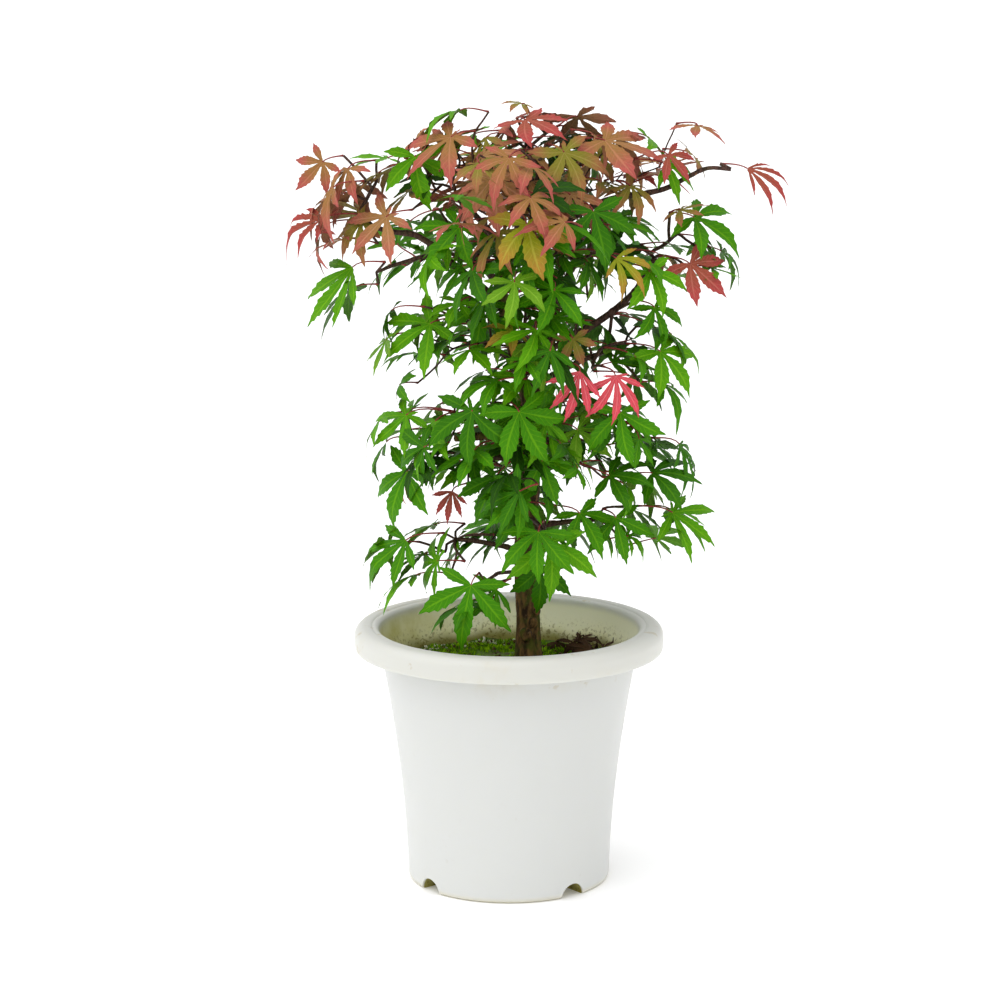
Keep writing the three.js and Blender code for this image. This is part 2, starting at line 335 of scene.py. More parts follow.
def spinOutline(outline, segments):
    bm = bmesh.new()
    chain = [bm.verts.new((radius, 0, height)) for radius, height in outline]
    edges = [bm.edges.new(pair) for pair in zip(chain, chain[1:])]
    bmesh.ops.spin(
        bm, geom=chain + edges, cent=(0, 0, 0), axis=(0, 0, 1), dvec=(0, 0, 0),
        angle=math.tau, steps=segments, use_merge=True,
    )
    bmesh.ops.remove_doubles(bm, verts=bm.verts, dist=0.005 * mm)
    bmesh.ops.recalc_face_normals(bm, faces=bm.faces)
    return bm


def turned(degrees):
    return Matrix.Rotation(math.radians(degrees), 4, "Z")


def roundBar(radius, length, sides, place):
    bm = bmesh.new()
    bmesh.ops.create_cone(
        bm, cap_ends=True, segments=sides, radius1=radius * mm, radius2=radius * mm,
        depth=length * mm, matrix=place,
    )
    return bm


def archBar(radius, inner, outer, turn):
    # a round bar along the floor, from inner to outer, turned round the pot
    aside = Matrix.Translation((0, -(inner + outer) / 2 * mm, 0))
    lie = Matrix.Rotation(math.radians(90), 4, "X")
    return roundBar(radius, outer - inner, 40, turned(turn) @ aside @ lie)


def cutterObject(name, bm):
    cutter = addObject(name, meshFrom(bm, name), [])
    cutter.hide_render = True
    return cutter


def booleanWith(piece, other, operation):
    change = piece.modifiers.new("joinOrCut", "BOOLEAN")
    change.object = other
    change.operation = operation
    change.solver = "EXACT"
    bakeModifiers(piece)
    mesh = other.data
    bpy.data.objects.remove(other)
    bpy.data.meshes.remove(mesh)


def makePot(material):
    piece = addObject("potShell", meshFrom(spinOutline(potOutline(), pot["segments"]), "potShell"), [])
    radius, wall, inner = pot["archRadius"], pot["archWall"], pot["archInner"]
    ridgeEnd = pot["footRadius"] - pot["wall"] / 2 - 0.6
    pastFoot = pot["footRadius"] + 10.8
    for turn in pot["archTurns"]:
        ridge = archBar(radius + wall, inner - wall, ridgeEnd, turn)
        geom = ridge.verts[:] + ridge.edges[:] + ridge.faces[:]
        below = bmesh.ops.bisect_plane(
            ridge, geom=geom, plane_co=(0, 0, 0.4 * mm), plane_no=up, clear_inner=True,
        )["geom_cut"]
        bmesh.ops.edgeloop_fill(ridge, edges=only(bmesh.types.BMEdge, below))
        booleanWith(piece, cutterObject("ridge", ridge), "UNION")
        booleanWith(piece, cutterObject("tunnel", archBar(radius, inner, pastFoot, turn)), "DIFFERENCE")
        spot = turned(turn) @ Matrix.Translation((0, -pot["drainFromAxis"] * mm, 8 * mm))
        booleanWith(piece, cutterObject("drain", roundBar(pot["drainRadius"], 10, 24, spot)), "DIFFERENCE")
    shadeSmooth(piece.data)
    piece.data.set_sharp_from_angle(angle=math.radians(38))
    piece.data.materials.append(material)
    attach(piece, "root")
    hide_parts("pot")


potFinish = {
    "wall": (0.645, 0.655, 0.635),
    "rim": (0.635, 0.635, 0.59),
    "foot": (0.66, 0.62, 0.48),
    "waterStain": (0.60, 0.54, 0.40),
    "spots": (0.46, 0.38, 0.22),
    "dust": (0.42, 0.37, 0.26),
    "inside": (0.97, 0.95, 0.70),
    # painted shade: the darker olive of the inner wall's left side
    "shadyInside": (0.58, 0.54, 0.20),
    "insidePatches": (0.97, 0.95, 0.76),
    "algae": (0.30, 0.27, 0.06),
    "algaeSpecks": (0.17, 0.13, 0.01),
    "rimFrom": (112.5, 114.5),  # heights between which the wall's colour turns into the rim's
    "footFrom": (3.4, 0.6),
    "stainFrom": (100, 112),
    "spotsFrom": (104, 111),
    "algaeFrom": (116.5, 109),
    "specksFrom": (123, 110),
    "stainTop": (125.5, 121),
}


def potMaterial():
    material, tree, shader = newMaterial(
        "potPlastic", Roughness=0.34, IOR=1.48, Subsurface_Weight=0.35, Subsurface_Scale=4 * mm,
        Subsurface_Radius=(1.0, 0.96, 0.78),
    )
    place = objectPlace(tree)
    x, y, z = put(tree, "ShaderNodeSeparateXYZ", {0: place}).outputs

    def between(height, zone):
        low, high = potFinish[zone]
        return ramp(tree, height, low * mm, high * mm)

    # inside the wall's middle line, from the flare that shapes the wall
    radius = maths(tree, "SQRT", maths(tree, "ADD", times(tree, x, x), times(tree, y, y)))
    share = maths(tree, "DIVIDE", maths(tree, "MAXIMUM", z, 0.0), pot["shoulder"] * mm)
    flare = times(tree, maths(tree, "POWER", share, pot["flarePower"]), pot["flare"] * mm)
    wall = maths(tree, "ADD", flare, (pot["footRadius"] - pot["wall"] / 2) * mm)
    inside = ramp(tree, maths(tree, "SUBTRACT", wall, radius), -0.4 * mm, 0.6 * mm)
    inside = times(tree, inside, between(z, "stainTop"))
    blotches = cloud(tree, place, 38.0, 5.0, 0.6)
    fine = cloud(tree, place, 240.0, 3.0)
    grit = cloud(tree, place, 620.0, 2.0)
    # ivory on the rim and foot, cooler white on the wall
    base = blend(tree, times(tree, between(z, "rimFrom"), 0.8), potFinish["wall"], potFinish["rim"])
    base = blend(tree, times(tree, between(z, "footFrom"), 0.6), base, potFinish["foot"])
    # water stains and spots just under the rim, and faint dust all over
    collar = times(tree, between(z, "stainFrom"), ramp(tree, blotches, 0.52, 0.72))
    base = blend(tree, times(tree, collar, 0.28), base, potFinish["waterStain"])
    spots = times(tree, between(z, "spotsFrom"), ramp(tree, cloud(tree, place, 130.0), 0.64, 0.70))
    base = blend(tree, times(tree, spots, 0.45), base, potFinish["spots"])
    dust = times(tree, ramp(tree, fine, 0.62, 0.72), ramp(tree, blotches, 0.5, 0.75))
    base = blend(tree, times(tree, dust, 0.14), base, potFinish["dust"])
    # algae on the inner wall, darkest at the soil, with painted shade darkening its left side
    waterLine = maths(tree, "ADD", times(tree, blotches, 9 * mm), z)
    # painted shade: the inner wall turns darker towards its left side
    shadySide = ramp(tree, x, -22 * mm, -52 * mm)
    algae = blend(tree, shadySide, potFinish["inside"], potFinish["shadyInside"])
    algae = blend(tree, ramp(tree, blotches, 0.35, 0.7, 0.0, 0.6), algae, potFinish["insidePatches"])
    algae = blend(tree, between(waterLine, "algaeFrom"), algae, potFinish["algae"])
    specks = times(tree, ramp(tree, grit, 0.52, 0.64), between(waterLine, "specksFrom"))
    algae = blend(tree, times(tree, specks, 0.75), algae, potFinish["algaeSpecks"])
    rough = maths(tree, "ADD", ramp(tree, blotches, 0.3, 0.7, 0.30, 0.42), times(tree, inside, 0.3))
    paint(tree, shader, blend(tree, inside, base, algae), rough)
    ripple = cloud(tree, place, 26.0, 2.0)
    addRelief(tree, shader, maths(tree, "ADD", ripple, times(tree, fine, 0.06)), 0.35 * mm, 0.5)
    return material


wood = {
    "voxel": 0.55,
    "relief": 0.34,
    "reliefSize": 2.2,
    "reliefStretch": 0.35,
    "boughRelief": 0.09,
    "budEvery": 9,
    "damp": (0.055, 0.085, 0.006),
    "lenticels": (0.22, 0.145, 0.085),
}

# Each kind of wood: its dark and pale tones, how green it is, how fine its grain is, how rough,
# and the depth of its relief
woods = {
    "bark": ((0.022, 0.011, 0.003), (0.19, 0.105, 0.035), 0.7, 1.0, 0.8, 0.6),
    "youngBark": ((0.028, 0.012, 0.009), (0.11, 0.055, 0.04), 0.15, 2.0, 0.6, 0.15),
    "stalkRed": ((0.20, 0.022, 0.022), (0.34, 0.07, 0.055), 0.0, 3.0, 0.5, 0.03),
}


def makeBarkPattern():
    # long cracks and plates along the stem, with green algae where it is damp
    group, given, result = newGroup(
        "barkPattern",
        {"Place": "Vector", "Scale": "Float", "Dark": "Color", "Light": "Color", "Damp": "Float"},
        {"Color": "Color", "Height": "Float"},
    )
    place, scale = given["Place"], given["Scale"]
    stretch = put(group, "ShaderNodeMapping", {"Vector": place, "Scale": (1, 1, 0.28)}).outputs[0]
    grain = cloud(group, stretch, times(group, scale, 420.0), 5.0, 0.65)
    patches = cloud(group, place, times(group, scale, 110.0), 3.0)
    lenticels = cloud(group, place, times(group, scale, 900.0), 1.0)
    shade = blend(group, ramp(group, grain, 0.36, 0.66), given["Dark"], given["Light"])
    pale = times(group, ramp(group, lenticels, 0.66, 0.74), 0.55)
    shade = blend(group, pale, shade, wood["lenticels"])
    damp = times(group, ramp(group, patches, 0.46, 0.62), given["Damp"])
    group.links.new(blend(group, damp, shade, wood["damp"]), result["Color"])
    group.links.new(grain, result["Height"])
    return group


def woodMaterial(name, dark, pale, damp, scale, roughness, relief):
    material, tree, shader = newMaterial(name, Specular_IOR_Level=0.18)
    marks = useGroup(
        tree, barkPattern, Place=objectPlace(tree), Scale=scale, Dark=dark, Light=pale, Damp=damp,
    )
    rough = ramp(tree, marks["Height"], 0.3, 0.7, roughness - 0.1, roughness + 0.1)
    paint(tree, shader, marks["Color"], rough)
    addRelief(tree, shader, marks["Height"], relief * mm)
    return material


def limbLine(name, slices):
    # the middle line and thickness of a CAD limb, read off by slicing it across
    bm = cadCopy(name)
    heading = up
    if name not in stemNames:
        nearest = min(bm.verts, key=lambda v: stemGap(v.co)).co
        farthest = max(bm.verts, key=lambda v: (v.co - nearest).length).co
        heading = (farthest - nearest).normalized()
    first = min(v.co.dot(heading) for v in bm.verts)
    last = max(v.co.dot(heading) for v in bm.verts)
    line = []
    for step in range(slices + 1):
        share = lerp(0.02, 0.98, step / slices)
        plane = heading * lerp(first, last, share)
        cut = bm.copy()
        geom = cut.verts[:] + cut.edges[:] + cut.faces[:]
        made = bmesh.ops.bisect_plane(cut, geom=geom, plane_co=plane, plane_no=heading)["geom_cut"]
        edges = only(bmesh.types.BMEdge, made)
        lengths = [e.calc_length() for e in edges]
        if sum(lengths) > 0:
            middles = [(e.verts[0].co + e.verts[1].co) / 2 for e in edges]
            centre = sum((spot * part for spot, part in zip(middles, lengths)), Vector()) / sum(lengths)
            reach = sum((e.verts[0].co - centre).length for e in edges) / len(edges)
            line.append([centre, reach])
        cut.free()
    bm.free()
    # a slice that meets the limb aslant is longer than it is thick
    for i, (centre, reach) in enumerate(line):
        before, after = line[max(i - 1, 0)][0], line[min(i + 1, len(line) - 1)][0]
        run = (after - before).normalized()
        line[i][1] = reach * math.sqrt(abs(run.dot(heading)))
    return line


def stemGap(place):
    return min(tree.find_nearest(place)[3] for tree in stemTrees)


def tubeObject(name, lines, sides, material):
    # tapering tubes along lines of [place, radius], joined as one mesh
    curve = bpy.data.curves.new(name, "CURVE")
    curve.dimensions = "3D"
    curve.bevel_depth = mm
    curve.bevel_resolution = sides
    curve.use_fill_caps = True
    curve.resolution_u = 1
    for line in lines:
        spline = curve.splines.new("POLY")
        spline.points.add(len(line) - 1)
        for point, (place, radius) in zip(spline.points, line):
            point.co = (*place, 1)
            point.radius = radius / mm
    shape = bpy.data.objects.new(name + "Curve", curve)
    bpy.context.scene.collection.objects.link(shape)
    bpy.context.view_layer.update()
    mesh = finishedMesh(shape)
    bpy.data.objects.remove(shape)
    bpy.data.curves.remove(curve)
    mesh.name = name
    mesh.materials.clear()
    piece = addObject(name, mesh, [material])
    bm = bmesh.new()
    bm.from_mesh(mesh)
    bmesh.ops.remove_doubles(bm, verts=bm.verts, dist=0.002 * mm)
    bmesh.ops.recalc_face_normals(bm, faces=bm.faces)
    bm.to_mesh(mesh)
    bm.free()
    shadeSmooth(mesh)
    return piece


def smoothLine(line, step):
    # a finer line through the same points
    places = [Vector(place) for place, _ in line]
    radii = [radius for _, radius in line]
    fine = []
    for i in range(len(places) - 1):
        a, b = places[i], places[i + 1]
        before = places[i - 1] if i > 0 else a + (a - b)
        after = places[i + 2] if i + 2 < len(places) else b + (b - a)
        count = max(1, round((b - a).length / step))
        for k in range(count):
            t = k / count
            spot = 0.5 * (
                2 * a + (b - before) * t + (2 * before - 5 * a + 4 * b - after) * t * t
                + (3 * a - before - 3 * b + after) * t ** 3
            )
            fine.append([spot, lerp(radii[i], radii[i + 1], t)])
    fine.append([places[-1], radii[-1]])
    return fine


def roughen(mesh, amount, size, stretch):
    # bark relief: vertices moved along their normals by cloudy noise
    moves = []
    for vertex in mesh.vertices:
        spot = Vector((vertex.co.x, vertex.co.y, vertex.co.z * stretch)) / size
        ridge = noise.fractal(spot, 0.8, 2.1, 4)
        ridge += 0.6 * abs(noise.noise(spot * 0.45 + Vector((5, 1, 2))))
        moves.append(vertex.co + vertex.normal * ridge * amount)
    mesh.vertices.foreach_set("co", [value for move in moves for value in move])
    mesh.update()


def pushRow(bm, row, edges):
    # the next row of a strip, grown from the last by extruding its edges
    fresh = only(bmesh.types.BMVert, bmesh.ops.extrude_edge_only(bm, edges=edges)["geom"])
    nextRow = [next(v for v in fresh if any(e.other_vert(v) == old for e in v.link_edges)) for old in row]
    nextEdges = [bm.edges.get(nextRow[:2]), bm.edges.get(nextRow[1:])]
    return nextRow, nextEdges


# One leaf, in units of its middle lobe: where the lobes point, how long they are, how
# many teeth each side has, and how deep the gaps between lobes run
leafShape = {
    "turns": (0, 53, 108, 148),
    "lengths": (1.0, 0.92, 0.66, 0.24),
    "teeth": (5, 4, 3, 1),
    "sinus": 0.13,
    "halfWidth": 0.158,
    "widestAt": 0.48,
    "notch": 0.92,
    "tooth": 1.08,
    "toothForward": 0.18,
    "uneven": (0.96, 1.04),
    "bow": 0.06,
    "fold": 0.26,
    "foldVary": (0.4, 1.5),
    "plump": (0.88, 1.12),
    "lobeVary": (0.9, 1.08),
    "backGap": (0.65, 0.06),  # the outermost roots: radians past the last lobe, and how far out
    "templates": 12,
    "fineTemplates": 4,
}


def lobeWidth(t, rootWidth, widest):
    if t < leafShape["widestAt"]:
        return lerp(rootWidth, widest, math.sin(t / leafShape["widestAt"] * math.pi / 2) ** 1.2)
    fall = (t - leafShape["widestAt"]) / (1 - leafShape["widestAt"])
    return widest * max(0.0, math.cos(fall * math.pi / 2)) ** 1.45


def addLobe(bm, marks, lobe, roots, fold, rng):
    along = Vector((math.sin(lobe["turn"]), math.cos(lobe["turn"]), 0))
    side = Vector((along.y, -along.x, 0))
    leftRoot, rightRoot = roots
    length = lobe["length"]
    start = (leftRoot.dot(along) + rightRoot.dot(along)) / 2
    rootWidth = (rightRoot - leftRoot).dot(side) / 2
    widest = leafShape["halfWidth"] * length * lobe["plump"]
    row = [bm.verts.new(leftRoot), bm.verts.new(along * start), bm.verts.new(rightRoot)]
    edges = [bm.edges.new(row[:2]), bm.edges.new(row[1:])]
    rootRow, rootEdges = row, edges
    for vert, across in zip(row, (0.0, 0.5, 1.0)):
        marks[vert] = (across, start)
    teeth = lobe["teeth"]
    bow = rng.uniform(-leafShape["bow"], leafShape["bow"])
    stations = [((step + 0.55) / (2 * teeth + 0.6), step % 2) for step in range(2 * teeth)]
    for t, isTooth in stations + [(1.0, 0)]:
        row, edges = pushRow(bm, row, edges)
        reach = leafShape["tooth"] if isTooth else leafShape["notch"]
        width = lobeWidth(t, rootWidth, widest) * reach * rng.uniform(*leafShape["uneven"])
        middle = along * lerp(start, length, t) + side * bow * length * t * t
        for vert, across, sway in zip(row, (0.0, 0.5, 1.0), (-1, 0, 1)):
            lift = abs(sway) * (width * fold + rng.uniform(-0.01, 0.01))
            forward = along * (leafShape["toothForward"] * length / teeth) if sway and isTooth else Vector()
            vert.co = middle + side * sway * width + forward + up * lift
            marks[vert] = (across, lerp(start, length, t) / length)
    row, edges = pushRow(bm, rootRow, rootEdges)
    for vert in row:
        vert.co = (0, 0, 0)
        marks[vert] = (0.5, 0.0)


def leafSheet():
    bm = bmesh.new()
    for name in ("leafUV", "OFBake"):
        bm.loops.layers.uv.new(name)
    return bm


def leafTemplate(seed, finer=0):
    rng = random.Random(seed)
    bm = leafSheet()
    pattern = bm.loops.layers.uv["leafUV"]
    marks = {}
    plump = rng.uniform(*leafShape["plump"])
    pairs = len(leafShape["turns"]) - (0 if seed % 3 == 0 else 1)
    lobes = []
    for i in range(pairs):
        for sign in ((1,) if i == 0 else (-1, 1)):
            lobes.append({
                "turn": math.radians(sign * leafShape["turns"][i] * rng.uniform(*leafShape["lobeVary"])),
                "length": leafShape["lengths"][i] * rng.uniform(*leafShape["lobeVary"]),
                "teeth": leafShape["teeth"][i] + finer,
                "plump": plump,
            })
    lobes.sort(key=lambda lobe: lobe["turn"])
    fold = leafShape["fold"] * rng.uniform(*leafShape["foldVary"])
    rims = []
    for one, other in zip(lobes, lobes[1:]):
        middle = (one["turn"] + other["turn"]) / 2
        depth = leafShape["sinus"] * min(1.0, (one["length"] + other["length"]) / 1.7)
        rims.append(Vector((math.sin(middle), math.cos(middle), 0)) * depth)
    past, out = leafShape["backGap"]
    for end, turn in ((0, lobes[0]["turn"] - past), (len(lobes), lobes[-1]["turn"] + past)):
        rims.insert(end, Vector((math.sin(turn), math.cos(turn), 0)) * out)
    for i, lobe in enumerate(lobes):
        addLobe(bm, marks, lobe, (rims[i], rims[i + 1]), fold, rng)
    for face in bm.faces:
        for loop in face.loops:
            loop[pattern].uv = marks[loop.vert]
    bmesh.ops.remove_doubles(bm, verts=bm.verts, dist=1e-4)
    bmesh.ops.dissolve_degenerate(bm, edges=bm.edges, dist=1e-5)
    for face in bm.faces:
        face.normal_update()
        if face.normal.z < 0:
            face.normal_flip()
        face.smooth = True
    return meshFrom(bm, "leafTemplate" + str(seed))


# How each blade differs from its template, in units of its middle lobe and radians
blade = {
    "wave": (0.03, 0.12),
    "sway": 0.22,
    "uneven": (0.2, 0.8),
    "folded": (0.6, 1.5),
    "tipCurl": (0, 0.5),
    "curlFrom": 0.62,
    "curlGain": 2.5,
    "spread": (0.78, 1.02),
    "pull": 0.16,
}


def addLeaf(bm, template, leaf):
    firstVert, firstFace = len(bm.verts), len(bm.faces)
    bm.from_mesh(template)
    bm.verts.ensure_lookup_table()
    bm.faces.ensure_lookup_table()
    rng = random.Random(leaf["seed"])
    wave = rng.uniform(*blade["wave"])
    sway = rng.uniform(-blade["sway"], blade["sway"])
    uneven = rng.uniform(*blade["uneven"])
    phase = rng.uniform(0, math.tau)
    folded = rng.uniform(*blade["folded"])
    tipCurl = leaf.get("curl", rng.uniform(*blade["tipCurl"]))
    across = leaf["aim"].cross(leaf["normal"])
    turn = Matrix((across, leaf["aim"], leaf["normal"])).transposed()
    spread = leaf.get("spread", rng.uniform(*blade["spread"]))
    for vert in bm.verts[firstVert:]:
        x, y, z = vert.co
        reach = math.hypot(x, y)
        swing = math.atan2(x, y) * spread + sway * reach ** 2
        x, y = reach * math.sin(swing), reach * math.cos(swing)
        sag = leaf["droop"] * (1 + uneven * math.sin(2 * swing + phase)) * reach ** 2
        sag += tipCurl * max(0.0, reach - blade["curlFrom"]) ** 2 * blade["curlGain"]
        height = z * folded + wave * math.sin(3 * swing + phase) * reach - sag
        pull = 1 - blade["pull"] * leaf["droop"] * reach
        vert.co = leaf["base"] + turn @ Vector((x * pull, y * pull, height)) * leaf["size"]
    for face in bm.faces[firstFace:]:
        face.material_index = leaf["tint"]


# Each tint: the leaf's heart, its lobe ends, its veins and how rough it is
leafTints = {
    # painted shade: a darker copy of the greens, for leaves deep inside the foliage
    "paintedShadeGreen": ((0.015, 0.075, 0.001), (0.020, 0.088, 0.001), (0.050, 0.150, 0.004), 0.50),
    "deepGreen": ((0.038, 0.185, 0.001), (0.048, 0.208, 0.001), (0.115, 0.325, 0.005), 0.46),
    "middleGreen": ((0.062, 0.272, 0.001), (0.076, 0.295, 0.001), (0.172, 0.440, 0.006), 0.46),
    "freshGreen": ((0.100, 0.352, 0.001), (0.128, 0.385, 0.002), (0.235, 0.520, 0.012), 0.44),
    "paleGreen": ((0.160, 0.385, 0.010), (0.190, 0.400, 0.016), (0.300, 0.540, 0.045), 0.42),
    "limeGold": ((0.34, 0.37, 0.012), (0.50, 0.27, 0.045), (0.46, 0.44, 0.06), 0.50),
    "oliveRose": ((0.28, 0.25, 0.03), (0.44, 0.17, 0.08), (0.38, 0.30, 0.08), 0.52),
    "roseBronze": ((0.40, 0.20, 0.06), (0.53, 0.12, 0.105), (0.54, 0.23, 0.13), 0.54),
    "salmon": ((0.47, 0.25, 0.09), (0.56, 0.165, 0.12), (0.60, 0.30, 0.17), 0.54),
    "brick": ((0.42, 0.10, 0.06), (0.52, 0.08, 0.08), (0.56, 0.19, 0.14), 0.54),
    "hotPink": ((0.74, 0.09, 0.12), (0.80, 0.09, 0.13), (0.86, 0.26, 0.28), 0.52),
    "drySienna": ((0.085, 0.042, 0.018), (0.060, 0.028, 0.014), (0.14, 0.075, 0.04), 0.80),
}
tintNames = list(leafTints)


def makeLeafPattern():
    # a pale rib down each lobe, side veins that slant forward, and cloudy mottling
    group, given, result = newGroup(
        "leafPattern",
        {"Place": "Vector", "Heart": "Color", "Ends": "Color", "Vein": "Color"},
        {"Color": "Color", "Height": "Float", "Vein": "Float"},
    )
    side, along, _ = put(group, "ShaderNodeSeparateXYZ", {0: given["Place"]}).outputs
    across = maths(group, "ABSOLUTE", maths(group, "SUBTRACT", times(group, side, 2.0), 1.0))
    rib = ramp(group, across, 0.05, 0.17, 1.0, 0.0)
    slant = maths(group, "SUBTRACT", times(group, along, 9.0), times(group, across, 1.5))
    nearest = maths(group, "ABSOLUTE", maths(group, "SUBTRACT", maths(group, "FRACT", slant), 0.5))
    sideVeins = times(group, ramp(group, nearest, 0.03, 0.14, 1.0, 0.0), 0.55)
    vein = maths(group, "MAXIMUM", rib, sideVeins)
    mottle = cloud(group, given["Place"], 7.0, 4.0, 0.6)
    shade = blend(group, ramp(group, along, 0.25, 0.85), given["Heart"], given["Ends"])
    richer = blend(group, 1.0, shade, shade, "MULTIPLY")
    shade = blend(group, ramp(group, mottle, 0.3, 0.7, 0.0, 0.35), shade, richer)
    deeper = blend(group, 1.0, shade, (0.72, 0.76, 0.7), "MULTIPLY")
    shade = blend(group, ramp(group, mottle, 0.4, 0.62), deeper, shade)
    group.links.new(blend(group, times(group, vein, 0.45), shade, given["Vein"]), result["Color"])
    lift = maths(group, "SUBTRACT", mottle, times(group, vein, 0.8))
    group.links.new(lift, result["Height"])
    group.links.new(vein, result["Vein"])
    return group


def leafMaterial(name, heart, ends, vein, roughness):
    material, tree, shader = newMaterial(name + "Leaf", IOR=1.42, Specular_IOR_Level=0.14)
    place = put(tree, "ShaderNodeUVMap", uv_map="leafUV").outputs[0]
    marks = useGroup(tree, leafPattern, Place=place, Heart=heart, Ends=ends, Vein=vein)
    pale = blend(tree, 0.45, marks["Color"], [0.6 * part + 0.045 for part in vein])
    behind = put(tree, "ShaderNodeNewGeometry").outputs["Backfacing"]
    rough = ramp(tree, marks["Vein"], 0.0, 1.0, roughness, roughness + 0.12)
    paint(tree, shader, blend(tree, behind, marks["Color"], pale), rough)
    addRelief(tree, shader, marks["Height"], 0.16 * mm, 0.8)
    return material


def packLeafMap(mesh):
    # the baked map: every leaf of one tint lies on the same cell, so all share its pattern
    columns = math.ceil(math.sqrt(len(tintNames)))
    margin = 0.04
    source = mesh.uv_layers["leafUV"].data
    target = mesh.uv_layers["OFBake"].data
    for polygon in mesh.polygons:
        column, row = polygon.material_index % columns, polygon.material_index // columns
        for corner in polygon.loop_indices:
            u, v = source[corner].uv
            target[corner].uv = (
                (column + lerp(margin, 1 - margin, u)) / columns,
                (row + lerp(margin, 1 - margin, v)) / columns,
            )


growth = {
    "axis": (11, 3),  # about where the stems stand among the leaves
    "leafLength": (15.0, 29.0),
    "spacing": 12.0,
    "litresPerLeaf": 0.0042,
    "overhang": 2.5,
    # leaves deeper than this in their mass take the painted-shade tint
    "shadeDepth": 11.0,
    "petiole": (10.0, 20.0),
    "shareSpur": 10.0,
    "twigStep": 6.0,
    "twigTip": 0.42,
    "droop": (0.05, 0.55),
    "mostOften": 24,
    "tries": 90,
    "inside": (13, 0.4),  # from this deep on, only this share of the places is tried further
    "tipOutside": 8,
    "clearBeside": 0.62,
    "clearTip": 15,
    "clearFront": 9,
    "tipDepth": 4.5,  # a mass is drawn out to a point where it stands this far beyond its neighbours
    "crownFrom": (0.62, 0.3),  # where the flat blades begin, and over what share they come in
    "leanFrom": (28, 50),  # a blade's least lean in degrees, low on the plant and in the crown
    "leanTo": (80, 95),
    "nod": (0.30, 0.30, 0.15),
    "swing": 0.75,
    "detour": 0.25,
    "bend": 0.05,
    "follow": 0.16,
    "knots": 0.12,
    "stalk": (0.46, 0.30),
    "stalkEnds": (0.22, 0.08),  # how much thicker the stalk is where it starts and where it ends
}

# How often each tint comes up, by the part of the tree
greens = {"deepGreen": 3, "middleGreen": 4, "freshGreen": 2.2, "paleGreen": 0.8}
bronzes = {"roseBronze": 4, "salmon": 2.4, "oliveRose": 3, "brick": 0.8, "freshGreen": 2, "middleGreen": 2}
reds = {"roseBronze": 4, "brick": 2, "salmon": 2, "oliveRose": 1}
mixed = {"middleGreen": 4, "freshGreen": 3, "oliveRose": 0.8, "roseBronze": 0.4}


def readMass(name):
    bm = cadCopy(name)
    low, high = (Vector(corner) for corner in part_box(name))
    middle = sum((v.co for v in bm.verts), Vector()) / len(bm.verts)
    tips = []
    for vert in bm.verts:
        around = [e.other_vert(vert).co for e in vert.link_edges]
        stand = (vert.co - middle).length - sum((spot - middle).length for spot in around) / len(around)
        if stand > growth["tipDepth"] * mm:
            tips.append(vert.co.copy())
    mass = {
        "name": name, "low": low, "high": high, "middle": middle, "tips": tips,
        "volume": bm.calc_volume(), "tree": BVHTree.FromBMesh(bm),
    }
    bm.free()
    return mass


def depthIn(mass, place):
    # how far inside the mass a place is; negative outside
    spot, normal, _, gap = mass["tree"].find_nearest(place)
    return gap if (place - spot).dot(normal) < 0 else -gap


def outwardAt(mass, place):
    fromStem = Vector((place.x - growth["axis"][0] * mm, place.y - growth["axis"][1] * mm, 0))
    fromMiddle = place - mass["middle"]
    fromMiddle.z = 0
    out = fromStem.normalized() * 1.0 + fromMiddle.normalized() * 0.5
    return out.normalized()


def leafPose(mass, place, rng):
    # blades lie flatter towards the top, and each one points out and down along its own slope
    out = outwardAt(mass, place)
    rise = (place.z - soilTop) / (cadTop - soilTop)
    begins, share = growth["crownFrom"]
    crown = smooth((rise - begins) / share)
    lean = math.radians(rng.uniform(lerp(*growth["leanFrom"], crown), lerp(*growth["leanTo"], crown)))
    normal = out * math.cos(lean) + up * math.sin(lean)
    normal += Vector([rng.gauss(0, reach) for reach in growth["nod"]])
    normal.normalize()
    aim = out - up * rng.uniform(0.0, 0.9)
    aim = (aim - normal * aim.dot(normal)).normalized()
    aim.rotate(Quaternion(normal, rng.gauss(0, growth["swing"])))
    return normal, aim


def newLeaf(base, normal, aim, size, droop, rng):
    return {
        "base": base, "normal": normal, "aim": aim, "size": size, "droop": droop,
        "seed": rng.randrange(1 << 30), "template": rng.randrange(leafShape["templates"]),
    }


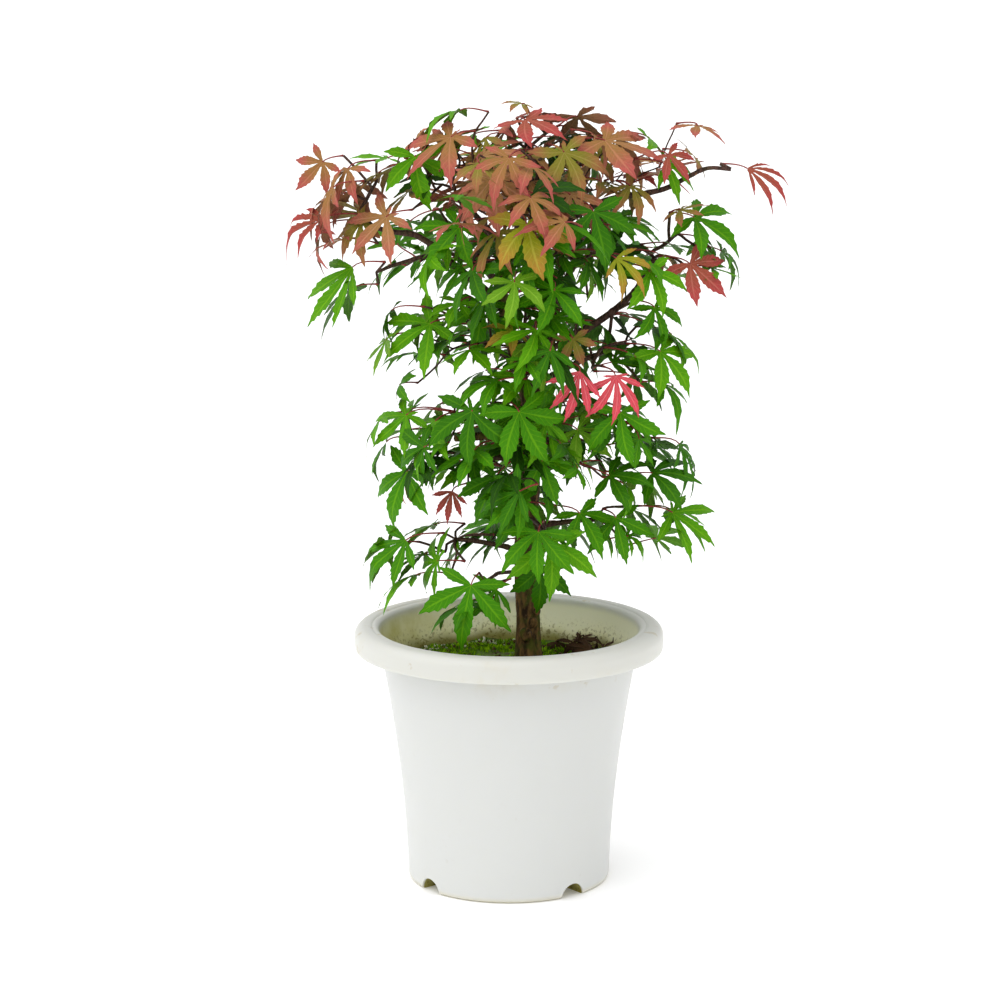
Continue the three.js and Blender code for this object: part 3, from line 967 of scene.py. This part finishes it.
# Leaves that stand out. Each has its mass, the place of its heart in the mass's box, which way
# the middle lobe runs, which way the blade faces, its size, tint and how far its tips curl
showLeaves = [
    ("far_right", (0.25, 0.45, 0.75), (26, -2, -12), (0.05, -0.6, 0.8), 26, "brick", 0.3, 0.5),
    ("crown_right", (0.8, 0.4, 1), (-4, -20, -2), (0.1, -0.3, 0.95), 19, "roseBronze", 0, 1),
    ("crown_right", (0.6, 0.275, 0.6), (12, -6, -12), (0.3, -0.8, 0.5), 16, "brick", 0.2, 1),
    ("crown_right", (0.175, 0.325, 0.8), (28, -9, -5), (0.1, -0.42, 0.9), 31, "roseBronze", 0.2, 1),
    ("right_shoulder", (0.4, 0.45, 1.05), (26, -4, -12), (0.1, -0.6, 0.8), 27, "middleGreen", 0.3, 1),
    ("right_shoulder", (0.25, 0.35, 1.15), (10, -12, 0), (0, -0.5, 0.85), 16, "oliveRose", 0.1, 1),
    ("right_shoulder", (0.35, 0.2, 0.5), (18, -6, -14), (0.2, -0.8, 0.55), 23, "brick", 0.2, 1),
    ("upper_right", (0.65, 0.2, 0.25), (12, -8, -20), (0.2, -0.75, 0.65), 24, "freshGreen", 0.2, 1),
    ("mid_right", (0.6, 0.3, 0.6), (18, -5, -16), (0.35, -0.65, 0.65), 25, "freshGreen", 0.2, 1),
    ("mid_right", (0.55, 0.4, 1.1), (9, -4, -18), (0.5, -0.7, 0.5), 21, "middleGreen", 0.2, 1),
    ("lower_right", (0.7, 0.6, 0.6), (14, -2, -26), (0.8, -0.3, 0.45), 29, "deepGreen", 0.3, 0.6),
    ("right_skirt", (0.575, 0.5, 0.9), (26, -4, -15), (0.15, -0.65, 0.75), 29, "freshGreen", 0.3, 0.8),
    ("right_skirt", (0.125, 0.35, 0.85), (5, -6, -20), (0.1, -0.8, 0.5), 23, "middleGreen", 0.2, 1),
    ("front_leaves", (0.45, 0.6, 0.75), (2, -12, -24), (0.02, -0.78, 0.62), 30, "freshGreen", 0.2, 1),
    ("front_leaves", (0.35, 1, 0.3), (0, -4, -22), (-0.3, -0.85, 0.3), 23, "deepGreen", 0.1, 1),
    ("front_low_leaves", (0.6, 0.5, 0.85), (-7, -9, -28), (-0.05, -0.84, 0.5), 31, "middleGreen", 0.2, 1),
    ("left_skirt", (0.5, 0.5, 0.7), (-20, -6, -14), (-0.25, -0.65, 0.7), 28, "middleGreen", 1.3, 0.7),
    ("lower_left", (0.35, 0.45, 0.475), (-12, -4, -24), (-0.5, -0.65, 0.5), 28, "middleGreen", 0.3, 1),
    ("lower_left", (0.35, 0.4, 0.9), (-18, -5, -15), (-0.3, -0.6, 0.75), 25, "freshGreen", 0.3, 1),
    ("mid_left", (0.525, 0.4, 0.75), (-26, -6, -14), (-0.15, -0.65, 0.75), 31, "freshGreen", 0.3, 1),
    ("left_hanging", (0.65, 0.55, 0.95), (-26, -2, -30), (-0.75, -0.55, 0.35), 38, "freshGreen", 0.1, 0.6),
    ("far_left", (0.5, 0.5, 0.375), (-22, -3, -8), (-0.2, -0.5, 0.8), 24, "brick", 1.5, 0.6),
    ("far_left", (0.5, 0.5, 0.825), (-12, -3, -13), (-0.1, -0.85, 0.5), 18, "roseBronze", 0.1, 1),
    ("crown_left", (0.225, 0.325, -0.05), (-18, -6, -16), (-0.2, -0.7, 0.7), 26, "salmon", 0.2, 1),
    ("crown_left", (0.725, 0.325, 0.75), (-25, -9, -15), (-0.3, -0.42, 0.86), 31, "roseBronze", 0.2, 1),
    ("crown_left", (0.45, 0.35, 0.55), (2, -5, -24), (0.1, -0.88, 0.45), 25, "freshGreen", 0.2, 1),
    ("crown_front", (0.3, 0.625, 0.7), (3, -9, -20), (0, -0.8, 0.6), 26, "salmon", 0.1, 1),
    ("crown_top", (0.475, 0.3, 0.8), (14, -16, -2), (0, -0.42, 0.9), 24, "brick", 0.1, 1),
    ("crown_top", (0.45, 0.45, 0.95), (-6, -8, 0), (0, -0.4, 0.9), 11, "oliveRose", 0.1, 1),
    ("crown_top", (0.725, 0.05, 0.5), (12, -9, -18), (0.25, -0.7, 0.65), 28, "oliveRose", 0.2, 1),
    ("crown_front", (0.525, 0.35, 0.25), (5, -12, -20), (0, -0.8, 0.6), 27, "limeGold", 0.1, 1.05),
    ("upper_right", (0.15, 0.05, 1.05), (7, -9, -22), (0.1, -0.8, 0.6), 27, "deepGreen", 0.2, 1),
    ("mid_front", (0.425, 0.55, 0.75), (-12, -8, -4), (-0.1, -0.7, 0.7), 16, "limeGold", 0.1, 1),
    ("mid_front", (0.9, 0.6, 0.65), (5, -5, -12), (0, -0.9, 0.4), 14, "oliveRose", 0.1, 1),
    ("mid_front", (0.95, 0.4, 0.3), (-5, -3, -25), (-0.1, -0.85, 0.5), 26, "hotPink", 0.1, 0.5),
    ("mid_right", (0.2, -0.15, 0.4), (3, -3, -25), (0.1, -0.85, 0.5), 26, "hotPink", 0.1, 0.62),
    ("upper_front", (0.65, 0.35, 0.35), (-5, -12, -14), (0, -0.7, 0.7), 25, "middleGreen", 0.1, 1),
    ("lower_front", (0.1, 0.45, 0.9), (-6, -8, -26), (-0.1, -0.85, 0.5), 30, "deepGreen", 0.2, 1),
    ("lower_front", (0.5, 0.425, 0.9), (12, -8, -24), (0.1, -0.8, 0.55), 28, "middleGreen", 0.2, 1),
    ("lower_right", (0.3, 0.05, 1), (2, -7, -24), (0, -0.85, 0.5), 26, "middleGreen", 0.2, 1),
    ("lower_front", (0.7, 0.7, 0.4), (8, -8, -22), (0.1, -0.8, 0.5), 22, "middleGreen", 0.1, 1),
    ("lower_front", (0.3, 0.725, 0.25), (-10, -8, -20), (-0.2, -0.75, 0.6), 24, "deepGreen", 0.1, 1),
    ("front_leaves", (0.1, 0.85, 1.2), (-8, -10, -16), (-0.1, -0.7, 0.7), 22, "deepGreen", 0.1, 1),
    ("front_leaves", (0.75, 0.9, 1.1), (12, -8, -16), (0.2, -0.7, 0.7), 23, "middleGreen", 0.1, 1),
    ("lower_left", (0.725, 0.5, 0.325), (-3, -4, -14), (-0.2, -0.8, 0.5), 16, "brick", 0.3, 0.6),
    ("lower_left", (0.325, 0.6, 0.4), (-2, -2, -14), (-0.6, -0.6, 0.4), 14, "salmon", 1, 0.5),
    ("upper_right", (0.35, 0.05, 0.45), (15, -6, -9), (0.1, -0.7, 0.7), 21, "limeGold", 0.3, 0.7),
]


def namedLeaves(rng):
    leaves = []
    for name, spot, aim, normal, size, tint, curl, spread in showLeaves:
        mass = masses[name]
        base = Vector([lerp(low, high, part) for low, high, part in zip(mass["low"], mass["high"], spot)])
        aim = Vector(aim).normalized()
        normal = Vector(normal)
        normal = (normal - aim * normal.dot(aim)).normalized()
        leaf = newLeaf(base, normal, aim, size * mm, 0.22, rng)
        leaf["template"] = leafShape["templates"] + rng.randrange(leafShape["fineTemplates"])
        leaf["curl"] = curl
        leaf["spread"] = spread
        leaf["tint"] = tintNames.index(tint)
        leaf["mass"] = name
        leaves.append(leaf)
    return leaves


def hides(place, shown):
    # true where a leaf would lie in front of one that stands out, or cut through it
    for leaf in shown:
        centre = leaf["base"] + leaf["aim"] * leaf["size"] * 0.4
        gap = math.hypot(place.x - centre.x, place.z - centre.z)
        inFront = place.y < centre.y + growth["clearFront"] * mm
        tip = leaf["base"] + leaf["aim"] * leaf["size"]
        if (gap < leaf["size"] * growth["clearBeside"] and inFront) or (
            (place - tip).length < growth["clearTip"] * mm
        ):
            return True
    return False


def tipLeaves(mass, shown, rng):
    # one leaf for each place where the mass is drawn out to a point
    leaves = []
    for tip in mass["tips"]:
        if any((tip - leaf["base"]).length < leaf["size"] * 1.5 for leaf in shown):
            continue
        aim = (tip - mass["middle"]).normalized()
        size = rng.uniform(0.94, 1.04) * growth["leafLength"][1] * mm
        out = outwardAt(mass, tip)
        normal = (up * 1.0 + out * 0.35 - Vector((0, 0.45, 0))).normalized()
        normal = (normal - aim * normal.dot(aim)).normalized()
        leaves.append(newLeaf(tip - aim * size * 0.96, normal, aim, size, 0.16, rng))
    return leaves


def bodyLeaves(mass, taken, shown, rng):
    wanted = round(mass["volume"] * 1000 / growth["litresPerLeaf"])
    leaves = []
    low, high = growth["leafLength"]
    inside, share = growth["inside"]
    for _ in range(wanted * growth["tries"]):
        if len(leaves) >= wanted:
            break
        place = Vector([rng.uniform(a, b) for a, b in zip(mass["low"], mass["high"])])
        depth = depthIn(mass, place)
        if depth < -growth["overhang"] * mm or (depth > inside * mm and rng.random() > share):
            continue
        if any((place - other).length < growth["spacing"] * mm for other in taken) or hides(place, shown):
            continue
        normal, aim = leafPose(mass, place, rng)
        size = rng.triangular(low, high, growth["mostOften"]) * mm
        if depthIn(mass, place + aim * size * 0.9) < -growth["tipOutside"] * mm:
            continue
        leaf = newLeaf(place, normal, aim, size, rng.uniform(*growth["droop"]), rng)
        # a leaf this deep is painted darker, as shade
        leaf["shaded"] = depth > growth["shadeDepth"] * mm
        leaves.append(leaf)
        taken.append(place)
    return leaves


def setSpurs(mass, leaves, start, rng):
    # where each leaf's stalk leaves its twig; neighbours share a spur, as opposite pairs do
    for leaf in leaves:
        out = outwardAt(mass, leaf["base"])
        back = (leaf["aim"] * 0.55 + out * 0.5 + up * 0.15 - leaf["normal"] * 0.1).normalized()
        reach = rng.uniform(*growth["petiole"]) * mm
        leaf["spur"] = leaf["base"] - back * reach
        leaf["spur"].z = min(leaf["spur"].z, leaf["base"].z + 3 * mm, cadTop - 6 * mm)
    spurs = []
    for leaf in sorted(leaves, key=lambda item: (item["spur"] - start).length):
        near = [spur for spur in spurs if (spur["place"] - leaf["spur"]).length < growth["shareSpur"] * mm]
        near = [spur for spur in near if len(spur["leaves"]) < 3]
        if near:
            spur = min(near, key=lambda item: (item["place"] - leaf["spur"]).length)
            spur["leaves"].append(leaf)
        else:
            spurs.append({"place": leaf["spur"], "leaves": [leaf]})
    for spur in spurs:
        for leaf in spur["leaves"]:
            leaf["spur"] = spur["place"]
    return spurs


def growTwigs(start, heading, radius, spurs, rng):
    # each spur in turn is joined to the nearest wood grown so far, by a twig that bends up and sideways
    nodes = [{"place": start, "parent": None, "load": 0.0, "children": []}]
    for spur in sorted(spurs, key=lambda item: (item["place"] - start).length):
        target = spur["place"]

        def cost(index):
            run = target - nodes[index]["place"]
            return run.length + growth["detour"] * (nodes[index]["place"] - start).length

        index = min(range(len(nodes)), key=cost)
        origin = nodes[index]["place"]
        run = target - origin
        count = max(1, round(run.length / (growth["twigStep"] * mm)))
        bend = Vector((rng.gauss(0, 1), rng.gauss(0, 1), abs(rng.gauss(0, 1)))) * run.length * growth["bend"]
        bend += heading * run.length * (growth["follow"] if index == 0 else 0.0)
        parent = index
        for step in range(1, count + 1):
            t = step / count
            place = origin + run * t + bend * math.sin(math.pi * t)
            if step < count:
                place += Vector([rng.gauss(0, growth["knots"]) * mm for _ in range(3)])
            nodes.append({"place": place, "parent": parent, "load": 0.0, "children": []})
            nodes[parent]["children"].append(len(nodes) - 1)
            parent = len(nodes) - 1
        while parent is not None:
            nodes[parent]["load"] += len(spur["leaves"])
            parent = nodes[parent]["parent"]
    tip = growth["twigTip"] * mm
    total = max(nodes[0]["load"], 1)

    def thickness(node):
        return lerp(tip, radius, math.sqrt(node["load"] / total)) if node["load"] else tip

    lines = []
    waiting = [(0, None)]
    while waiting:
        index, joint = waiting.pop()
        line = []
        if joint is not None:
            line.append([nodes[joint]["place"], thickness(nodes[index])])
        while True:
            node = nodes[index]
            line.append([node["place"], thickness(node)])
            if not node["children"]:
                break
            order = sorted(node["children"], key=lambda child: -nodes[child]["load"])
            waiting += [(child, index) for child in order[1:]]
            index = order[0]
        if len(line) > 1:
            lines.append(line)
    return lines


def petioleLine(leaf):
    start, end = leaf["spur"], leaf["base"]
    reach = (end - start).length
    outward = Vector((leaf["normal"].x, leaf["normal"].y, 0)) * 0.35 + up * 0.1
    away = (leaf["aim"] * 0.45 + outward - leaf["normal"] * 0.25).normalized()
    first = start + ((end - start).normalized() + up * 0.18).normalized() * reach * 0.35
    last = end - away * reach * 0.3
    line = []
    for step in range(7):
        t = step / 6
        place = (
            start * (1 - t) ** 3 + first * 3 * t * (1 - t) ** 2 + last * 3 * t * t * (1 - t) + end * t ** 3
        )
        thick = lerp(*growth["stalk"], t)
        thick += {0: growth["stalkEnds"][0], 6: growth["stalkEnds"][1]}.get(step, 0)
        line.append([place, thick * mm])
    return line


def chooseTint(weights, rng):
    return tintNames.index(rng.choices(list(weights), weights=list(weights.values()))[0])


def tintsFor(name):
    if name == "far_right":
        return {"roseBronze": 1}
    if name == "far_left":
        return reds
    if name.startswith("crown"):
        return bronzes
    return mixed if name == "right_shoulder" else greens


makeCamera()
makeStage()
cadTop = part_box("crown_top")[1][2]
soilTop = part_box("soil")[1][2]
print("stage ready")

makePot(potMaterial())
print("pot ready")

stemNames = ["trunk", "left_leader", "right_leader"]
stemTrees = []
for stemName in stemNames:
    shape = cadCopy(stemName)
    stemTrees.append(BVHTree.FromBMesh(shape))
    shape.free()

barkPattern = makeBarkPattern()
bark, youngBark, stalkRed = [woodMaterial(name, *values) for name, values in woods.items()]

# Old cuts and knobs: on which stem, how far up it, which way they point, length and thickness
stubs = [
    ("trunk", 0.30, (1.0, -0.5, 0.35), 9.5, 2.6),
    ("trunk", 0.22, (0.7, -0.9, 0.2), 8.0, 2.2),
    ("trunk", 0.13, (-0.2, -1.0, 0.1), 8.6, 3.4),
    ("trunk", 0.17, (0.3, -1.0, 0.0), 8.0, 2.8),
    ("trunk", 0.62, (-1.0, -0.1, 0.25), 8.0, 2.4),
    ("trunk", 0.93, (-1.0, -0.35, 0.10), 40.0, 2.1),
    ("left_leader", 0.30, (1.0, -0.5, 0.6), 6.0, 1.7),
    ("right_leader", 0.42, (-0.8, -0.6, 0.6), 6.5, 1.7),
]


def makeStems():
    lines = []
    for name in stemNames:
        line = smoothLine(limbLine(name, 14), 2 * mm)
        lines.append(line)
        for stem, share, heading, length, radius in stubs:
            if stem == name:
                root = line[round(share * (len(line) - 1))][0]
                tip = root + Vector(heading).normalized() * length * mm
                bow = lerp(root, tip, 0.5) + up * length * 0.05 * mm
                thick = radius * mm
                lines.append([[root, thick * 1.3], [bow, thick], [tip, thick * 0.9]])
    piece = tubeObject("trunkWood", lines, 6, bark)
    remesh = piece.modifiers.new("blendJoints", "REMESH")
    remesh.mode = "VOXEL"
    remesh.voxel_size = wood["voxel"] * mm
    bakeModifiers(piece)
    relax = piece.modifiers.new("soften", "SMOOTH")
    relax.iterations = 4
    bakeModifiers(piece)
    roughen(piece.data, wood["relief"] * mm, wood["reliefSize"] * mm, wood["reliefStretch"])
    shadeSmooth(piece.data)
    if not piece.data.materials:
        piece.data.materials.append(bark)
    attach(piece, "root")
    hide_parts(*stemNames)


makeStems()
print("stems ready")

boughNames = [name for name in frame["nodes"] if name.endswith("_bough")]
notFoliage = ["pot", "soil"] + stemNames + boughNames
masses = {name: readMass(name) for name in frame["nodes"] if name not in notFoliage}
boughLines = {name: limbLine(name, 8) for name in boughNames}


def makeBoughs():
    lines = []
    for name, line in boughLines.items():
        if stemGap(line[0][0]) > stemGap(line[-1][0]) and name != "left_hanging_bough":
            line.reverse()
        heading = (line[0][0] - line[1][0]).normalized()
        root = [line[0][0] + heading * 2.5 * mm, line[0][1] * 1.25]
        fine = smoothLine([root] + line, 1.6 * mm)
        for bud in fine[4::wood["budEvery"]]:
            bud[1] *= 1.16
        lines.append(fine)
    piece = tubeObject("boughWood", lines, 3, youngBark)
    roughen(piece.data, wood["boughRelief"] * mm, 1.2 * mm, 1.0)
    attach(piece, "root")
    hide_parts(*boughNames)


makeBoughs()
print("boughs ready")

templates = [leafTemplate(seed) for seed in range(leafShape["templates"])]
templates += [leafTemplate(100 + seed, 2) for seed in range(leafShape["fineTemplates"])]
leafPattern = makeLeafPattern()
leafMaterials = [leafMaterial(name, *values) for name, values in leafTints.items()]

tiers = {
    "crownLeaves": [
        "crown_top", "crown_left", "crown_right", "crown_front", "crown_back", "far_left", "far_right",
    ],
    "upperLeaves": [
        "left_hanging", "right_shoulder", "upper_left", "upper_front", "upper_right", "upper_back_left",
        "upper_back_right",
    ],
    "middleLeaves": ["mid_left", "mid_front", "mid_right", "mid_back"],
    "lowerLeaves": ["lower_left", "lower_front", "lower_right", "lower_back"],
    "skirtLeaves": ["left_skirt", "right_skirt", "front_leaves", "front_low_leaves", "back_skirt"],
}

allTwigs, allStalks, taken = [], [], []
shown = namedLeaves(random.Random("shown leaves"))
leafCount = 0
for tierName, members in tiers.items():
    sheet = leafSheet()
    for name in members:
        mass = masses[name]
        rng = random.Random("maple " + name)
        if name + "_bough" in boughLines:
            line = boughLines[name + "_bough"]
            start, radius = line[-1]
            heading = (start - line[-2][0]).normalized()
        else:
            low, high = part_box("left_leader")
            start = Vector((lerp(low[0], high[0], 0.9), lerp(low[1], high[1], 0.3), high[2]))
            heading, radius = up, 1.5 * mm
        leaves = [leaf for leaf in shown if leaf["mass"] == name]
        leaves += tipLeaves(mass, shown, rng)
        taken += [leaf["base"] for leaf in leaves]
        leaves += bodyLeaves(mass, taken, shown, rng)
        spurs = setSpurs(mass, leaves, start, rng)
        for spur in spurs:
            tint = chooseTint(tintsFor(name), rng)
            for leaf in spur["leaves"]:
                # shaded leaves take the darker tint, painted shade
                leaf.setdefault("tint", tintNames.index("paintedShadeGreen") if leaf.get("shaded") else tint)
        allTwigs += [smoothLine(line, 3 * mm) for line in growTwigs(start, heading, radius, spurs, rng)]
        for leaf in leaves:
            allStalks.append(petioleLine(leaf))
            addLeaf(sheet, templates[leaf["template"]], leaf)
        leafCount += len(leaves)
    mesh = meshFrom(sheet, tierName)
    packLeafMap(mesh)
    piece = addObject(tierName, mesh, leafMaterials)
    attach(piece, "root")
    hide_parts(*members)
print("leaves ready:", leafCount)

twigs = tubeObject("twigs", allTwigs, 1, youngBark)
stalks = tubeObject("leafStalks", allStalks, 1, stalkRed)
for piece in (twigs, stalks):
    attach(piece, "root")
print("twigs ready")


soil = {
    "edge": 104.4,
    "crown": 105.4,
    "roughness": 1.3,
    "humus": ((0.05, 0.036, 0.012), (0.13, 0.10, 0.035)),
    "green": (0.09, 0.17, 0.008),
    "trunkFoot": 9.5,  # how far the trunk's foot stands from the pot's axis
    "trunkClear": 7.5,
    "tufts": 3200,
    "tuftSize": (0.7, 1.15),
    "tuftReach": 55.5,
    "tuftBlades": 9,
    "tuftSpread": 0.9,
    "bladeLean": (0.1, 0.9),
    "bladeLength": (1.3, 2.6),
    "bladeWidth": 0.22,
    "bareBelow": -0.3,
    "deepMoss": ((0.05, 0.13, 0.001), (0.14, 0.30, 0.002)),
    "brightMoss": ((0.20, 0.40, 0.002), (0.36, 0.62, 0.006)),
    "grains": 320,
    "grainSize": (0.5, 1.5),
    "clay": ((0.028, 0.017, 0.005), (0.12, 0.075, 0.025)),
    "perlite": 60,
    "perliteSize": (0.5, 1.3),
    "perliteWhite": ((0.46, 0.45, 0.32), (0.70, 0.70, 0.58)),
    "grainReach": 56,
    "litter": 14,
    "litterTurns": (12, 56),  # degrees from the right, anticlockwise from above
    "litterReach": (38, 51),
    "litterLift": (3, 7),
    "litterSize": (8, 14),
    "floor": 12,
    "floorReach": 46,
    "sides": (30, 55, 80, 96),
    "sideGap": 0.25,
    "rings": 34,
}


def soilReach(height):
    return (wallRadius(height) - pot["wall"] - soil["sideGap"]) * mm


def soilHeight(x, y):
    radius = math.hypot(x, y)
    height = lerp(soil["crown"], soil["edge"], smooth((radius / mm - 22) / 34)) * mm
    bumps = noise.fractal(Vector((x, y, 0)) / (9 * mm), 0.9, 2.0, 4)
    return height + (bumps - 0.2) * soil["roughness"] * mm


def makeSoil(material):
    outline = [(0, soil["floor"] * mm), (soil["floorReach"] * mm, soil["floor"] * mm)]
    outline += [(soilReach(height), height * mm) for height in soil["sides"]]
    edge, rings = soilReach(soil["edge"]), soil["rings"]
    outline += [(edge * (1 - step / rings), soil["edge"] * mm) for step in range(rings + 1)]
    bm = spinOutline(outline, 96)
    for vert in bm.verts:
        if vert.co.z > 100 * mm:
            vert.co.z = soilHeight(vert.co.x, vert.co.y)
    piece = addObject("soilBed", meshFrom(bm, "soilBed"), [material])
    shadeSmooth(piece.data)
    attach(piece, "root")
    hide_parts("soil")


def soilMaterial():
    material, tree, shader = newMaterial("mossySoil")
    place = objectPlace(tree)
    coarse = cloud(tree, place, 160.0, 4.0)
    fine = cloud(tree, place, 900.0, 3.0)
    base = blend(tree, ramp(tree, fine, 0.35, 0.65), *soil["humus"])
    base = blend(tree, ramp(tree, coarse, 0.34, 0.52), base, soil["green"])
    paint(tree, shader, base, ramp(tree, fine, 0.3, 0.7, 0.85, 1.0))
    addRelief(tree, shader, fine, 0.8 * mm)
    return material


def twoTone(name, gloss, scale, detail, low, high, relief):
    # dark and pale by cloudy noise, with a little relief, for moss and grains
    material, tree, shader = newMaterial(name, Roughness=0.9, Specular_IOR_Level=gloss)
    tone = cloud(tree, objectPlace(tree), scale, detail)
    paint(tree, shader, blend(tree, ramp(tree, tone, low, high), *soil[name]))
    addRelief(tree, shader, tone, relief * mm)
    return material


def mossTemplate(seed):
    rng = random.Random(seed)
    bm = bmesh.new()
    for _ in range(soil["tuftBlades"]):
        turn, lean = rng.uniform(0, math.tau), rng.uniform(*soil["bladeLean"])
        spot = Vector((rng.gauss(0, soil["tuftSpread"]), rng.gauss(0, soil["tuftSpread"]), -0.4))
        rise = Vector((*onCircle(turn, lean), 1)).normalized()
        tip = spot + rise * rng.uniform(*soil["bladeLength"])
        side = Vector((-math.sin(turn), math.cos(turn), 0)) * soil["bladeWidth"]
        base = [bm.verts.new(spot - side), bm.verts.new(spot + side)]
        made = bmesh.ops.extrude_edge_only(bm, edges=[bm.edges.new(base)])["geom"]
        for vert in only(bmesh.types.BMVert, made):
            vert.co = lerp(vert.co, spot, 0.6) + (tip - spot) * 0.98
    return meshFrom(bm, "mossTemplate" + str(seed))


def scatter(bm, template, place, size, rng):
    first = len(bm.verts)
    bm.from_mesh(template)
    bm.verts.ensure_lookup_table()
    turn = Quaternion(up, rng.uniform(0, math.tau)) @ Quaternion(Vector((1, 0, 0)), rng.gauss(0, 0.25))
    matrix = Matrix.LocRotScale(place, turn, Vector((size, size, size)))
    bmesh.ops.transform(bm, matrix=matrix, verts=bm.verts[first:])


def freeSpot(rng, reach):
    while True:
        x, y = onCircle(rng.uniform(0, math.tau), math.sqrt(rng.random()) * reach)
        if math.hypot(x - soil["trunkFoot"] * mm, y) > soil["trunkClear"] * mm:
            return x, y


def makeMoss(materials):
    rng = random.Random("moss")
    bm = bmesh.new()
    kinds = [mossTemplate(seed) for seed in range(5)]
    for _ in range(soil["tufts"]):
        x, y = freeSpot(rng, soil["tuftReach"] * mm)
        if noise.noise(Vector((x, y, 3)) / (14 * mm)) < soil["bareBelow"]:
            continue
        first = len(bm.faces)
        kind = rng.choice(kinds)
        place, size = Vector((x, y, soilHeight(x, y))), rng.uniform(*soil["tuftSize"]) * mm
        scatter(bm, kind, place, size, rng)
        bm.faces.ensure_lookup_table()
        shade = rng.choices((0, 1), weights=(3, 2))[0]
        for face in bm.faces[first:]:
            face.material_index = shade
    piece = addObject("mossCarpet", meshFrom(bm, "mossCarpet"), materials)
    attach(piece, "root")


def makeGrains(name, count, sizes, material, seed, keep):
    rng = random.Random(seed)
    bm = bmesh.new()
    made = 0
    while made < count:
        x, y = freeSpot(rng, soil["grainReach"] * mm)
        if not keep(x, y, rng):
            continue
        size = rng.uniform(*sizes) * mm
        place = Vector((x, y, soilHeight(x, y) + size * 0.35))
        spot = Matrix.LocRotScale(
            place, Quaternion((rng.random(), rng.random(), rng.random(), 1)).normalized(),
            Vector((size, size * rng.uniform(0.6, 1), size * rng.uniform(0.5, 0.9))),
        )
        for vert in bmesh.ops.create_icosphere(bm, subdivisions=1, radius=1, matrix=spot)["verts"]:
            vert.co = place + (vert.co - place) * rng.uniform(0.8, 1.2)
        made += 1
    piece = addObject(name, meshFrom(bm, name), [material])
    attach(piece, "root")


def makeLitter():
    # dead leaves blown against the back of the pot
    rng = random.Random("litter")
    bm = leafSheet()
    for i in range(soil["litter"]):
        turn = math.radians(lerp(*soil["litterTurns"], i / soil["litter"]) + rng.uniform(-6, 6))
        x, y = onCircle(turn, rng.uniform(*soil["litterReach"]) * mm)
        base = Vector((x, y, soilHeight(x, y) + rng.uniform(*soil["litterLift"]) * mm))
        normal = Vector((rng.gauss(0, 0.5), rng.gauss(-0.5, 0.4), 1)).normalized()
        aim = normal.orthogonal().normalized()
        aim.rotate(Quaternion(normal, rng.uniform(0, math.tau)))
        size = rng.uniform(*soil["litterSize"]) * mm
        leaf = newLeaf(base, normal, aim, size, rng.uniform(0.3, 0.9), rng)
        leaf["curl"] = rng.uniform(-2.5, 2.5)
        leaf["tint"] = tintNames.index("drySienna" if i != 3 else "paintedShadeGreen")
        addLeaf(bm, templates[leaf["template"]], leaf)
    mesh = meshFrom(bm, "deadLeaves")
    packLeafMap(mesh)
    piece = addObject("deadLeaves", mesh, leafMaterials)
    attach(piece, "root")


def farOut(x, y, rng):
    return rng.random() < 0.4 or math.hypot(x, y) > 42 * mm


def backLeft(x, y, rng):
    return y > 26 * mm and x < 8 * mm and math.hypot(x, y) > rng.uniform(44, 52) * mm


makeSoil(soilMaterial())
makeMoss([twoTone(name, 0.08, 300.0, 2.0, 0.3, 0.7, 0.1) for name in ("deepMoss", "brightMoss")])
clay, white = (twoTone(name, 0.15, 700.0, 3.0, 0.35, 0.65, 0.3) for name in ("clay", "perliteWhite"))
makeGrains("soilGrains", soil["grains"], soil["grainSize"], clay, "grains", farOut)
makeGrains("perliteGrains", soil["perlite"], soil["perliteSize"], white, "perlite", backLeft)
makeLitter()
print("soil ready")
